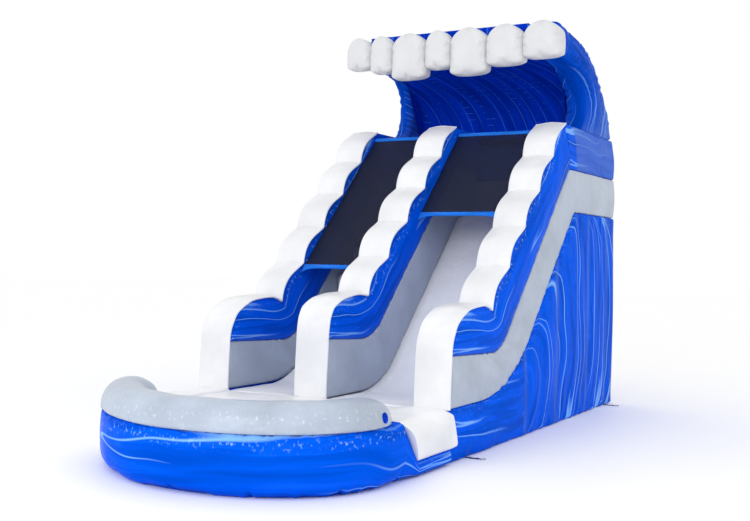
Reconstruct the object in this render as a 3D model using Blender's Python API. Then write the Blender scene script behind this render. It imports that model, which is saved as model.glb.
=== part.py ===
"""Inflatable two-lane water slide with a splash pool and a breaking-wave canopy.

X runs across the lanes, Y from the pool towards the back, Z up, and the origin is on the
ground at the middle of the whole footprint. Outlines are given with Y counted from the
front faces of the three lane walls, and each mesh is moved to the origin when it is
finished. Each piece is an air-filled vinyl chamber, drawn as one closed solid of its
inflated outer shape.
"""

import math

import bmesh
import bpy
from mathutils import Matrix, Vector

# Driving dimensions, in metres
HALF_WIDTH = 1.43
SEAM_GAP = 0.0006
SEWN_EDGE = 0.01
PANEL_EDGE = 0.03
TOWER_EDGE = 0.04
LANE_WALL = 0.368
MIDDLE_CENTRE = -0.07
REAR = 5.06

# Levels of the landing, the platform and the bands round it
LANDING = 0.49
LANDING_SKIN = 0.06
LANDING_DEPTH = 0.95
PLATFORM = 2.446
GREY_TOP = 2.946
WALL_TOP = 3.46
WALL_TOP_SETBACK = 0.1
SEAM_FRONT = 0.975
SEAM_SAG = 0.05

# Every slope is 45 degrees: a lean is how far behind the origin its line meets the ground.
# The beds lie higher between the walls than the side panels under the walls.
LEAN_FLOOR = 1.00
LEAN_BED = 0.65
LEAN_SEAM = 0.31
FLOOR_BEND = 1.8
BED_BEND = 1.0
SEAM_BEND = 0.6
KNEE_BEND = 0.16
BED_DEPTH = 0.48

# The middle wall stands higher than the outer two
MIDDLE_LEAN_SEAM = -0.05
MIDDLE_SEAM_FRONT = 1.06
MIDDLE_REAR = 3.56

# White caps: up the leaning front, over a shoulder into a dip, and in scallops up the slope
CAP = 0.025
FRONT_FOOT = (0, 0.6)
SIDE_SHOULDER = [(0.03, 1.03), (0.1, 1.2), (0.17, 1.28), (0.3, 1.35), (0.46, 1.4), (0.78, 1.42)]
SIDE_DIP = (0.955, 1.375)
SIDE_END = (3.04, 3.46)
MIDDLE_SHOULDER = [(0.04, 1.16), (0.1, 1.33), (0.17, 1.39), (0.3, 1.445), (0.46, 1.475), (0.62, 1.49)]
MIDDLE_DIP = (0.8, 1.475)
MIDDLE_END = (2.88, 3.46)
SCALLOPS = 5
SCALLOP_RISE = 0.075

# Pool ring seen from above: straight arms by the landing and a front squarer on its right
POOL_OUTER = 1.45
POOL_FRONT = -2.25
POOL_CENTRE = -1.10
POOL_SQUARENESS = {"left": 1.65, "right": 2.2}
RING = 0.42
RIM_SEAM = 0.495
RIM_TOP = 0.73
RIM_END = -0.91
RIM_TAPER = 0.45
RIM_TAPER_ROUNDS = 4
RIM_END_SIZE = 0.28
RIM_ROUND = 0.19
RING_FOOT_ROUND = 0.13
RING_SEAM_ROUND = 0.02
POOL_FLOOR = 0.10

# White flaps over the ring's arms: upper and lower front corners, and how far they stand out
FLAP_TOP = (-0.90, 0.50)
FLAP_FOOT = (-0.64, 0.135)
FLAP_BULGE = 0.03
FLAP_ROUND = 0.07

# Side view of the wave: the outer skin, the front of its cheeks and its hollow back wall
WAVE_SKIN = [(4.9, 3.46), (4.84, 3.66), (4.6, 3.93), (4.33, 4.2), (3.93, 4.43), (3.4, 4.55), (2.8, 4.6)]
CHEEK_FRONT = [(3.8, 3.46), (3.94, 3.6), (4.0, 3.78), (3.9, 3.97), (3.6, 4.14), (3.2, 4.21), (2.8, 4.23)]
HOLLOW_FRONT = [(4.24, 3.46), (4.32, 3.75), (4.17, 4.01), (3.78, 4.21), (3.3, 4.29), (2.8, 4.32)]
CHEEK_ROUND = 0.07

# Puffs of foam along the front of the wave: their ends across the lanes and their undersides
PUFF_ENDS = [-1.28, -0.95, -0.65, -0.20, 0.13, 0.59, 1.04, 1.49]
PUFF_BOTTOMS = [4.18, 4.12, 4.02, 4.12, 4.02, 4.10, 4.15]
PUFF_TOP = 4.585
PUFF_FRONT = 2.55
PUFF_BACK = 3.05
PUFF_POWER = 0.6

NET_THICKNESS = 0.006
NET_BAR = 0.03
BAR_SIDES = 12
LEFT_NET = ((1.38, 1.75), (2.98, 3.35))
RIGHT_NET = ((1.94, 2.36), (2.94, 3.36))

STEPS = 5
STEP_DEPTH = 0.2
STEP_NOSE = 0.07
STEP_CLEARANCE = 0.02

STRAP_PLACES = (0.42, 4.80)
STRAP_WIDTH = 0.05
STRAP_THICKNESS = 0.004
STRAP_LENGTH = 0.15
STRAP_TUCK = 0.029
RING_RADIUS = 0.026
RING_WIRE = 0.004

SIDE_X = HALF_WIDTH - LANE_WALL
INNER_X = SIDE_X - SEAM_GAP
BACK_FRONT = REAR - LANE_WALL
MIDDLE_Y = (REAR + POOL_FRONT) / 2
SHARP_ANGLE = math.radians(40)


def clear_scene():
    for item in list(bpy.data.objects):
        bpy.data.objects.remove(item, do_unlink=True)


def new_collection(name):
    group = bpy.data.collections.new(name)
    bpy.context.scene.collection.children.link(group)
    return group


def new_material(name, colour, roughness, metallic=0.0):
    material = bpy.data.materials.new(name)
    material.use_nodes = True
    shader = material.node_tree.nodes["Principled BSDF"]
    shader.inputs["Base Color"].default_value = (*colour, 1.0)
    shader.inputs["Roughness"].default_value = roughness
    shader.inputs["Metallic"].default_value = metallic
    material.diffuse_color = (*colour, 1.0)
    return material


clear_scene()
PARTS = new_collection("wave_water_slide")
BLUE = new_material("blue_marbled_vinyl", (0.004, 0.13, 0.72), 0.3)
DEEP = new_material("deep_blue_vinyl", (0.002, 0.06, 0.42), 0.35)
WHITE = new_material("white_vinyl", (0.9, 0.9, 0.92), 0.35)
GREY = new_material("grey_vinyl", (0.48, 0.51, 0.57), 0.35)
NET = new_material("black_mesh_net", (0.012, 0.012, 0.014), 0.8)
WEBBING = new_material("navy_webbing", (0.004, 0.03, 0.16), 0.7)
STEEL = new_material("steel_ring", (0.6, 0.6, 0.62), 0.3, 1.0)


# Outlines

def rounded(corners, steps=4):
    """An open outline through corners (a, b, radius), with an arc at each radius."""
    points = []
    for index, (a, b, radius) in enumerate(corners):
        here = Vector((a, b))
        if radius <= 0 or index in (0, len(corners) - 1):
            points.append((a, b))
            continue
        before = (Vector(corners[index - 1][:2]) - here).normalized()
        after = (Vector(corners[index + 1][:2]) - here).normalized()
        half = before.angle(after) / 2
        centre = here + (before + after).normalized() * radius / math.sin(half)
        start = here + before * radius / math.tan(half) - centre
        end = here + after * radius / math.tan(half) - centre
        for step in range(steps + 1):
            part = step / steps
            spoke = (start.lerp(end, part)).normalized() * radius
            if 0 < step < steps:
                turn = start.angle(end)
                low = math.sin((1 - part) * turn) / math.sin(turn)
                high = math.sin(part * turn) / math.sin(turn)
                spoke = start * low + end * high
            points.append(tuple(centre + spoke))
    return points


def smooth(points, steps=3):
    """A Catmull-Rom curve through the points, with this many steps between each two."""
    ends = [points[0], *points, points[-1]]
    curve = []
    for index in range(1, len(ends) - 2):
        a, b, c, d = (Vector(point) for point in ends[index - 1 : index + 3])
        for step in range(steps):
            t = step / steps
            bend = b * 2 + (c - a) * t
            bend += (a * 2 - b * 5 + c * 4 - d) * t**2
            bend += (b * 3 - a - c * 3 + d) * t**3
            curve.append(tuple(bend / 2))
    return curve + [tuple(points[-1])]


def slide_line(front, low, lean, high, rear, bend, sag=0.0):
    """Level or sagging at the front, up at 45 degrees, and level again round the platform."""
    bottom = low - sag
    corners = [
        (front, low, 0),
        (bottom + lean, bottom, bend),
        (high + lean, high, KNEE_BEND),
        (rear, high, 0),
    ]
    return rounded(corners, steps=4)


def floor_line(front, rear):
    return slide_line(front, LANDING, LEAN_FLOOR, PLATFORM, rear, FLOOR_BEND)


def bed_line(front, rear):
    return slide_line(front, LANDING, LEAN_BED, PLATFORM, rear, BED_BEND)


def seam_line(front, rear, low=SEAM_FRONT, lean=LEAN_SEAM):
    return slide_line(front, low, lean, GREY_TOP, rear, SEAM_BEND, SEAM_SAG)


def top_line(shoulder, dip, end):
    """Top of a lane wall: up its front, over the shoulder and up in scallops."""
    foot = (0, LANDING + SEAM_GAP)
    return [foot, FRONT_FOOT] + shoulder + scallops(dip, end, SCALLOPS, SCALLOP_RISE)


def behind_cap(shoulder, level):
    """Y just behind the cap, whose front leans back from its foot to the shoulder."""
    y, z = shoulder[0]
    lean = y * (level - FRONT_FOOT[1]) / (z - FRONT_FOOT[1])
    return lean + CAP + SEAM_GAP * 2


def inset(path, distance):
    """The path moved towards its right-hand side, with mitred corners."""
    last = len(path) - 1
    points = []
    for index in range(last + 1):
        here = Vector(path[index])
        before = (here - Vector(path[max(index - 1, 0)])).normalized()
        after = (Vector(path[min(index + 1, last)]) - here).normalized()
        run = before + after
        mitre = 2 / run.length if 0 < index < last else 1
        run.normalize()
        points.append(tuple(here + Vector((run.y, -run.x)) * distance * mitre))
    return points


def moved(outline, a, b):
    return [(point[0] + a, point[1] + b) for point in outline]


def scallops(start, end, count, rise, steps=5):
    """A row of equal rounded bumps from start to end, standing out to the left of it."""
    first = Vector(start)
    run = Vector(end) - first
    out = Vector((-run.y, run.x)).normalized()
    points = []
    for bump in range(count):
        for step in range(steps):
            lift = rise * math.sin(math.pi * step / steps) ** 0.7
            points.append(tuple(first + run * (bump + step / steps) / count + out * lift))
    return points + [tuple(end)]


# Solids

def finished(item, name, material, edge=0.0):
    """Makes a curve a welded mesh object, with its flat ends rounded over by edge."""
    bpy.context.view_layer.update()
    graph = bpy.context.evaluated_depsgraph_get()
    mesh = bpy.data.meshes.new_from_object(item.evaluated_get(graph))
    work = bmesh.new()
    work.from_mesh(mesh)
    bmesh.ops.remove_doubles(work, verts=work.verts, dist=0.00005)
    bmesh.ops.recalc_face_normals(work, faces=work.faces)
    if edge:
        for end in (1, -1):
            bmesh.ops.dissolve_faces(work, faces=[face for face in work.faces if face.normal.z * end > 0.99])
        rim = {line for face in work.faces if abs(face.normal.z) > 0.99 for line in face.edges}
        bmesh.ops.bevel(
            work, geom=list(rim), offset=edge, segments=2, profile=0.5, affect="EDGES", clamp_overlap=False
        )
    work.transform(item.matrix_world)
    bpy.data.objects.remove(item, do_unlink=True)
    work.to_mesh(mesh)
    work.free()
    return placed(mesh, name, material)


def placed(mesh, name, material):
    mesh.name = name
    mesh.transform(Matrix.Translation((0, -MIDDLE_Y, 0)))
    mesh.shade_smooth()
    mesh.set_sharp_from_angle(angle=SHARP_ANGLE)
    mesh.materials.clear()
    mesh.materials.append(material)
    made = bpy.data.objects.new(name, mesh)
    PARTS.objects.link(made)
    return made


def outline_curve(name, outline, cyclic, dimensions):
    curve = bpy.data.curves.new(name, "CURVE")
    curve.dimensions = dimensions
    spline = curve.splines.new("POLY")
    spline.points.add(len(outline) - 1)
    for point, (a, b) in zip(spline.points, outline):
        point.co = (a, b, 0, 1)
    spline.use_cyclic_u = cyclic
    item = bpy.data.objects.new(name, curve)
    bpy.context.scene.collection.objects.link(item)
    return item


def thick(name, outline, thickness):
    item = outline_curve(name, outline, True, "2D")
    item.data.fill_mode = "BOTH"
    item.data.extrude = thickness / 2
    return item


def across(name, outline, low_x, high_x, material, edge=PANEL_EDGE):
    """A solid with this (Y, Z) outline, reaching from low_x to high_x."""
    item = thick(name, outline, high_x - low_x)
    turn = Matrix(((0, 0, 1), (1, 0, 0), (0, 1, 0))).to_4x4()
    item.matrix_world = Matrix.Translation(((low_x + high_x) / 2, 0, 0)) @ turn
    return finished(item, name, material, edge)


def along(name, outline, low_y, high_y, material, edge=PANEL_EDGE):
    """A solid with this (X, Z) outline, reaching from low_y to high_y."""
    item = thick(name, outline, high_y - low_y)
    turn = Matrix.Rotation(math.pi / 2, 4, "X")
    item.matrix_world = Matrix.Translation((0, (low_y + high_y) / 2, 0)) @ turn
    return finished(item, name, material, edge)


def upright(name, outline, low_z, high_z, material, edge=PANEL_EDGE):
    """A solid with this (X, Y) outline, reaching from low_z to high_z."""
    item = thick(name, outline, high_z - low_z)
    item.matrix_world = Matrix.Translation((0, 0, (low_z + high_z) / 2))
    return finished(item, name, material, edge)


def swept(name, path, section, material, level=0.0, sizes=()):
    """A closed (sideways, up) section carried along an open path at a level, scaled by sizes."""
    profile = outline_curve(name + "_section", section, True, "2D")
    item = outline_curve(name, path, False, "3D")
    item.matrix_world = Matrix.Translation((0, 0, level))
    for point, size in zip(item.data.splines[0].points, sizes):
        point.radius = size
    item.data.twist_mode = "Z_UP"
    item.data.bevel_mode = "OBJECT"
    item.data.bevel_object = profile
    item.data.use_fill_caps = True
    made = finished(item, name, material)
    bpy.data.objects.remove(profile, do_unlink=True)
    return made


def bar(name, low_x, high_x, y, z, radius, material):
    """A round bar across the lane."""
    mesh = bpy.data.meshes.new(name)
    work = bmesh.new()
    bmesh.ops.create_cone(
        work, cap_ends=True, segments=BAR_SIDES, radius1=radius, radius2=radius, depth=high_x - low_x
    )
    middle = Matrix.Translation(((low_x + high_x) / 2, y, z))
    work.transform(middle @ Matrix.Rotation(math.pi / 2, 4, "Y"))
    work.to_mesh(mesh)
    work.free()
    return placed(mesh, name, material)


# Pool and landing

def pool_path(steps=18):
    """Middle of the pool ring: an arm along each side of the landing and a rounded front."""
    half = POOL_OUTER - RING / 2
    reach = POOL_CENTRE - POOL_FRONT - RING / 2
    points = [(half, -SEAM_GAP)]
    for step in range(steps + 1):
        angle = math.pi * step / steps
        side = math.cos(angle)
        power = 2 / POOL_SQUARENESS["right" if side > 0 else "left"]
        x = half * math.copysign(abs(side) ** power, side)
        y = POOL_CENTRE - reach * math.sin(angle) ** power
        points.append((x, y))
    return points + [(-half, -SEAM_GAP)]


def in_front(path, level):
    """The part of the ring's path in front of this Y, with its two ends on that line."""
    inner = [point for point in path if point[1] < level]
    first = path.index(inner[0])
    last = path.index(inner[-1])
    ends = []
    for outside, inside in ((path[first - 1], inner[0]), (path[last + 1], inner[-1])):
        part = (level - inside[1]) / (outside[1] - inside[1])
        ends.append((inside[0] + (outside[0] - inside[0]) * part, level))
    return [ends[0]] + inner + [ends[1]]


def ring_section(height, outer_low, inner_low, radius_high):
    """The fat ring cut across, rounded where it is free and flat where it is sewn."""
    half = RING / 2
    corners = [
        (0, 0, 0),
        (half, 0, outer_low),
        (half, height, radius_high),
        (-half, height, radius_high),
        (-half, 0, inner_low),
        (0, 0, 0),
    ]
    return rounded(corners, steps=3)[:-1]


def cut(item, name, outline):
    """Takes a bar with this (Y, Z) outline, reaching right across, out of a finished solid."""
    reach = 2 * POOL_OUTER
    cutter = across(name, outline, -reach, reach, BLUE, edge=0)
    cut_away = item.modifiers.new("cut", "BOOLEAN")
    cut_away.object = cutter
    bpy.context.view_layer.update()
    graph = bpy.context.evaluated_depsgraph_get()
    mesh = bpy.data.meshes.new_from_object(item.evaluated_get(graph))
    item.modifiers.clear()
    item.data = mesh
    bpy.data.objects.remove(cutter, do_unlink=True)


def make_pool():
    path = pool_path()
    section = ring_section(RIM_SEAM, RING_FOOT_ROUND, SEWN_EDGE, RING_SEAM_ROUND)
    wall = swept("pool_wall", path, section, BLUE)
    past = POOL_OUTER
    notch = [FLAP_TOP, FLAP_FOOT, (past, FLAP_FOOT[1]), (past, past), (FLAP_TOP[0], past)]
    cut(wall, "flap_notch", notch)

    arm = in_front(path, RIM_END)
    rounds = []
    for number in range(1, RIM_TAPER_ROUNDS + 1):
        rounds.append(in_front(path, RIM_END - RIM_TAPER * (number / RIM_TAPER_ROUNDS) ** 2))
    starts = [arm[0]] + [ring[0] for ring in rounds]
    stops = [ring[-1] for ring in rounds][::-1] + [arm[-1]]
    rim = starts + rounds[-1][1:-1] + stops
    sizes = [1.0] * len(rim)
    for number in range(RIM_TAPER_ROUNDS):
        size = max(RIM_END_SIZE, math.sin(math.pi / 2 * number / RIM_TAPER_ROUNDS))
        sizes[number] = size
        sizes[-1 - number] = size
    section = ring_section(RIM_TOP - RIM_SEAM - SEAM_GAP, RING_SEAM_ROUND, RING_SEAM_ROUND, RIM_ROUND)
    swept("pool_rim", rim, section, GREY, RIM_SEAM + SEAM_GAP, sizes)
    inner = inset(path, RING / 2 + SEAM_GAP)
    floor = in_front(inner, -LANDING_DEPTH - SEAM_GAP)
    upright("pool_floor", floor, 0, POOL_FLOOR, WHITE, edge=SEWN_EDGE)
    return inner


def make_landing(inner):
    """A block between the ring's arms with a white deck, and a flap over each arm."""
    front = in_front(inner, -LANDING_DEPTH)
    plan = [inner[0], front[0], front[-1], inner[-1]]
    block = LANDING - LANDING_SKIN
    upright("landing_base", plan, 0, block, BLUE, edge=SEWN_EDGE)
    upright("landing_deck", plan, block + SEAM_GAP, LANDING, WHITE, edge=SEWN_EDGE)
    top = (FLAP_TOP[0] + SEAM_GAP * 2, FLAP_TOP[1])
    foot = (FLAP_FOOT[0] + SEAM_GAP, FLAP_FOOT[1] + SEAM_GAP)
    outline = [top, foot, (-SEAM_GAP, foot[1]), (-SEAM_GAP, top[1])]
    inside = POOL_OUTER - RING + SEAM_GAP
    outside = POOL_OUTER + FLAP_BULGE
    across("entry_flap_right", outline, inside, outside, WHITE, FLAP_ROUND)
    across("entry_flap_left", outline, -outside, -inside, WHITE, FLAP_ROUND)


# Tower and lanes

def make_tower():
    outline = [(0, 0)] + floor_line(0, REAR) + [(REAR, 0)]
    across("tower_side_left", outline, -HALF_WIDTH, -SIDE_X, BLUE, edge=TOWER_EDGE)
    across("tower_side_right", outline, SIDE_X, HALF_WIDTH, BLUE, edge=TOWER_EDGE)
    back = [(BACK_FRONT, 0), (REAR, 0), (REAR, PLATFORM), (BACK_FRONT, PLATFORM)]
    across("tower_back", back, -INNER_X, INNER_X, BLUE, edge=TOWER_EDGE)

    top = bed_line(0, BACK_FRONT - SEAM_GAP)
    knee = top[-4]
    low = knee[1] - BED_DEPTH
    bed = top[:-3] + [(knee[0], low), (knee[0] - low, 0), (0, 0)]
    across("climb_bed", bed, -INNER_X, MIDDLE_CENTRE - SEAM_GAP, WHITE, edge=SEWN_EDGE)
    across("slide_bed", bed, MIDDLE_CENTRE, INNER_X, WHITE, edge=SEWN_EDGE)

    front = knee[0] + SEAM_GAP
    floor = [(front, knee[1])] + top[-3:] + [(top[-1][0], low), (front, low)]
    across("platform_floor", floor, -INNER_X, INNER_X, WHITE, edge=SEWN_EDGE)


def make_steps():
    """Padded rungs up the climbing lane, each with a level top."""
    bend_end = BED_BEND * math.tan(math.pi / 8) / math.sqrt(2)
    first = LEAN_BED + LANDING + bend_end + STEP_CLEARANCE
    rise = (PLATFORM + LEAN_BED - first) / STEPS
    high_x = MIDDLE_CENTRE - LANE_WALL / 2 - SEAM_GAP
    for number in range(STEPS):
        y = first + rise * number
        z = y - LEAN_BED + SEAM_GAP
        corners = [
            (y, z, 0),
            (y, z + STEP_DEPTH, STEP_NOSE),
            (y + STEP_DEPTH, z + STEP_DEPTH, 0),
        ]
        outline = rounded(corners, steps=3)
        across(f"climb_step_{number + 1}", outline, -SIDE_X + SEAM_GAP, high_x, WHITE, edge=SEWN_EDGE)


# Lane walls

def make_lane_wall(side, low_x, high_x, rear, floor, seam, top):
    """Grey band, blue band and white cap. A wall that runs on round the platform ends its blue
    band at the knee."""
    grey = moved(floor, 0, SEAM_GAP) + seam[::-1]
    across(side + "_wall_grey", grey, low_x, high_x, GREY)

    over = inset(top, CAP + SEAM_GAP)[2:]
    under = moved(seam, 0, SEAM_GAP)
    if rear > MIDDLE_REAR:
        under = under[:-3]
    else:
        over.append((rear, over[-1][1]))
    across(side + "_wall_blue", under + over[::-1], low_x, high_x, BLUE)
    across(side + "_wall_cap", top + inset(top, CAP)[::-1], low_x, high_x, WHITE, edge=0.008)


def make_lane_walls():
    front = CAP + SEAM_GAP
    floor = floor_line(front, REAR)
    seam = seam_line(behind_cap(SIDE_SHOULDER, SEAM_FRONT), REAR)
    top = top_line(SIDE_SHOULDER, SIDE_DIP, SIDE_END)
    make_lane_wall("left", -HALF_WIDTH, -SIDE_X, REAR, floor, seam, top)
    make_lane_wall("right", SIDE_X, HALF_WIDTH, REAR, floor, seam, top)

    floor = bed_line(front, MIDDLE_REAR)
    leaning = behind_cap(MIDDLE_SHOULDER, MIDDLE_SEAM_FRONT)
    seam = seam_line(leaning, MIDDLE_REAR, MIDDLE_SEAM_FRONT, MIDDLE_LEAN_SEAM)
    top = top_line(MIDDLE_SHOULDER, MIDDLE_DIP, MIDDLE_END)
    low_x = MIDDLE_CENTRE - LANE_WALL / 2
    make_lane_wall("middle", low_x, low_x + LANE_WALL, MIDDLE_REAR, floor, seam, top)


def make_platform_walls():
    seam = moved(seam_line(0, REAR), 0, SEAM_GAP)
    lower = [(seam[-4][0] + SEAM_GAP * 2, seam[-4][1])] + seam[-3:]
    top = top_line(SIDE_SHOULDER, SIDE_DIP, SIDE_END)
    end = inset(top, CAP)[-1]
    outline = lower + [(REAR - WALL_TOP_SETBACK, WALL_TOP), (top[-1][0] + SEAM_GAP * 3, WALL_TOP)]
    outline.append((end[0] + SEAM_GAP * 3, end[1]))
    across("platform_side_left", outline, -HALF_WIDTH, -SIDE_X, BLUE)
    across("platform_side_right", outline, SIDE_X, HALF_WIDTH, BLUE)
    low = PLATFORM + SEAM_GAP
    grey = [(BACK_FRONT, low), (REAR, low), (REAR, GREY_TOP), (BACK_FRONT, GREY_TOP)]
    across("rear_wall_grey", grey, -INNER_X, INNER_X, GREY)
    low = GREY_TOP + SEAM_GAP
    blue = [(BACK_FRONT, low), (REAR, low), (REAR - WALL_TOP_SETBACK, WALL_TOP), (BACK_FRONT, WALL_TOP)]
    across("rear_wall_blue", blue, -INNER_X, INNER_X, BLUE)


# Wave canopy

def make_wave():
    skin = moved(smooth(WAVE_SKIN), 0, SEAM_GAP)
    cheek = skin + moved(smooth(CHEEK_FRONT), 0, SEAM_GAP)[::-1]
    across("wave_cheek_left", cheek, -HALF_WIDTH, -SIDE_X, BLUE, CHEEK_ROUND)
    across("wave_cheek_right", cheek, SIDE_X, HALF_WIDTH, BLUE, CHEEK_ROUND)
    hollow = skin + moved(smooth(HOLLOW_FRONT), 0, SEAM_GAP)[::-1]
    across("wave_back", hollow, -INNER_X, INNER_X, DEEP, edge=0.02)


def make_crest():
    """Boxy puffs of foam, each a swollen ball cut flat where it is sewn on."""
    seat = WAVE_SKIN[-1][0] - SEAM_GAP
    for number, bottom in enumerate(PUFF_BOTTOMS):
        low = Vector((PUFF_ENDS[number] + SEAM_GAP, PUFF_FRONT, bottom))
        high = Vector((PUFF_ENDS[number + 1] - SEAM_GAP, PUFF_BACK, PUFF_TOP))
        mesh = bpy.data.meshes.new("puff")
        work = bmesh.new()
        bmesh.ops.create_uvsphere(work, u_segments=16, v_segments=10, radius=1)
        for point in work.verts:
            point.co = Vector([math.copysign(abs(part) ** PUFF_POWER, part) for part in point.co])
        work.transform(Matrix.Translation((low + high) / 2) @ Matrix.Diagonal((*(high - low) / 2, 1)))
        everything = work.verts[:] + work.edges[:] + work.faces[:]
        bmesh.ops.bisect_plane(
            work, geom=everything, plane_co=(0, seat, 0), plane_no=(0, 1, 0), clear_outer=True
        )
        bmesh.ops.holes_fill(work, edges=[edge for edge in work.edges if edge.is_boundary])
        work.to_mesh(mesh)
        work.free()
        placed(mesh, f"crest_puff_{number + 1}", WHITE)


# Nets, bars and anchors

def make_net(side, low_x, high_x, low, high):
    """A mesh roof over a lane, level with the wall tops, with a bar at each (Y, Z) end."""
    reach = (NET_BAR * math.cos(math.pi / BAR_SIDES) + SEAM_GAP / 2) / math.sqrt(2)
    half = NET_THICKNESS / 2 / math.sqrt(2)
    sheet = [
        (low[0] + reach + half, low[1] + reach - half),
        (high[0] - reach + half, high[1] - reach - half),
        (high[0] - reach - half, high[1] - reach + half),
        (low[0] + reach - half, low[1] + reach + half),
    ]
    across("net_" + side, sheet, low_x, high_x, NET, edge=0)
    bar(f"net_bar_{side}_low", low_x, high_x, *low, NET_BAR, BLUE)
    bar(f"net_bar_{side}_high", low_x, high_x, *high, NET_BAR, BLUE)


def make_nets():
    middle = (MIDDLE_CENTRE - LANE_WALL / 2, MIDDLE_CENTRE + LANE_WALL / 2)
    make_net("left", -SIDE_X + SEAM_GAP, middle[0] - SEAM_GAP, *LEFT_NET)
    make_net("right", middle[1] + SEAM_GAP, SIDE_X - SEAM_GAP, *RIGHT_NET)


def make_anchor(name, sign, y):
    """A webbing tab on the ground beside the base, with a steel ring at its end."""
    start = HALF_WIDTH - STRAP_TUCK
    end = start + STRAP_LENGTH
    half = STRAP_WIDTH / 2
    tab = [(start, y - half), (end, y - half), (end, y + half), (start, y + half)]
    tab = [(sign * x, side) for x, side in tab]
    upright("anchor_strap_" + name, tab, 0, STRAP_THICKNESS, WEBBING, edge=0)
    path = []
    middle = end + SEAM_GAP + RING_WIRE + RING_RADIUS
    for step in range(16):
        angle = math.tau * step / 16
        path.append((sign * (middle + RING_RADIUS * math.cos(angle)), y + RING_RADIUS * math.sin(angle)))
    item = outline_curve("anchor_ring_" + name, path, True, "3D")
    item.data.bevel_depth = RING_WIRE
    item.data.bevel_resolution = 1
    item.matrix_world = Matrix.Translation((0, 0, RING_WIRE))
    finished(item, "anchor_ring_" + name, STEEL)


def make_anchors():
    for side, sign in (("left", -1), ("right", 1)):
        for end, y in zip(("front", "rear"), STRAP_PLACES):
            make_anchor(f"{side}_{end}", sign, y)


make_landing(make_pool())
make_tower()
make_steps()
make_lane_walls()
make_platform_walls()
make_wave()
make_crest()
make_nets()
make_anchors()
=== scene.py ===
"""Inflatable two-lane water slide with a splash pool and a wave canopy, dressed over its CAD frame.

Lengths are in metres. Outlines count Y from the front faces of the lane walls, and every mesh
is moved back to the frame's own origin when it is made.
"""

import math

import bpy
import numpy as np
from bpy.props import FloatProperty, FloatVectorProperty, IntProperty, PointerProperty
from mathutils import Matrix, Vector


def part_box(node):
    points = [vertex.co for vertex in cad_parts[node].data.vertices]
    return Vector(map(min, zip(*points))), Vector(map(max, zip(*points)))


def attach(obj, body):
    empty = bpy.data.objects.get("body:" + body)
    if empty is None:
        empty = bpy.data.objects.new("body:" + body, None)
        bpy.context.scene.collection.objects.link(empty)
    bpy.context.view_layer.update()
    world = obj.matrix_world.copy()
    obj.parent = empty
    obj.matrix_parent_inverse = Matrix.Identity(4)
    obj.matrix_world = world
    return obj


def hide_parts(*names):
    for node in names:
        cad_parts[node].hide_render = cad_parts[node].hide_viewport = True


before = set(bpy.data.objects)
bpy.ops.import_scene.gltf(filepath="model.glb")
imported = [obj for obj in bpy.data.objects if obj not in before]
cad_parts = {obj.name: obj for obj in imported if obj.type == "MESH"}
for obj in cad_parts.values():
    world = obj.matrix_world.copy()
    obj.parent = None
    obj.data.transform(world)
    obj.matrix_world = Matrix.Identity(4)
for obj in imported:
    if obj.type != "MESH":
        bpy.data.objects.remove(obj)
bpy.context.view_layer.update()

bl_info = {
    "name": "Inflatable water slide",
    "version": (1, 0, 0),
    "blender": (4, 5, 0),
    "location": "3D View > Sidebar > Slide",
    "description": "Builds the vinyl chambers of an inflatable water slide over its CAD frame",
    "category": "Add Mesh",
}

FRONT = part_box("left_wall_cap")[0].y

# Places across the lanes, read from the frame
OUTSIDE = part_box("right_wall_grey")[1].x
SIDE_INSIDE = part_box("right_wall_grey")[0].x
MIDDLE_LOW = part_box("middle_wall_grey")[0].x
MIDDLE_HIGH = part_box("middle_wall_grey")[1].x
BED_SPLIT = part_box("slide_bed")[0].x
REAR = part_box("tower_back")[1].y - FRONT
BACK_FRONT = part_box("tower_back")[0].y - FRONT
GAP = 0.0006

# The sloping lines, repeated from the part's source
LANDING = 0.49
PLATFORM = 2.446
GREY_TOP = 2.946
WALL_TOP = 3.46
SEAM_FRONT = 0.975
SEAM_SAG = 0.05
LEAN_FLOOR = 1.00
LEAN_BED = 0.65
LEAN_SEAM = 0.31
FLOOR_BEND = 1.8
BED_BEND = 1.0
SEAM_BEND = 0.6
KNEE_BEND = 0.16
MIDDLE_LEAN_SEAM = -0.05
MIDDLE_SEAM_FRONT = 1.06
MIDDLE_REAR = 3.56
FRONT_FOOT = (0, 0.6)
SIDE_SHOULDER = [(0.03, 1.03), (0.1, 1.2), (0.17, 1.28), (0.3, 1.35), (0.46, 1.4), (0.78, 1.42)]
SIDE_DIP = (0.955, 1.375)
SIDE_END = (3.04, 3.46)
MIDDLE_SHOULDER = [(0.04, 1.16), (0.1, 1.33), (0.17, 1.39), (0.3, 1.445), (0.46, 1.475), (0.62, 1.49)]
MIDDLE_DIP = (0.8, 1.475)
MIDDLE_END = (2.88, 3.46)
SCALLOPS = 5
SCALLOP_RISE = 0.085
SCALLOP_SKEW = 0.76
SCALLOP_ROWS = 22
SHARP_ANGLE = 60

POOL_OUTER = 1.45
POOL_FRONT = -2.25
POOL_CENTRE = -1.10
RING = 0.42
RIM_SEAM = 0.495
RIM_TOP = 0.73
RIM_END = -0.91
RIM_TAPER = 0.45
POOL_FLOOR = 0.10
FLAP_TOP = (-0.90, 0.50)
FLAP_FOOT = (-0.64, 0.135)

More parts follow.
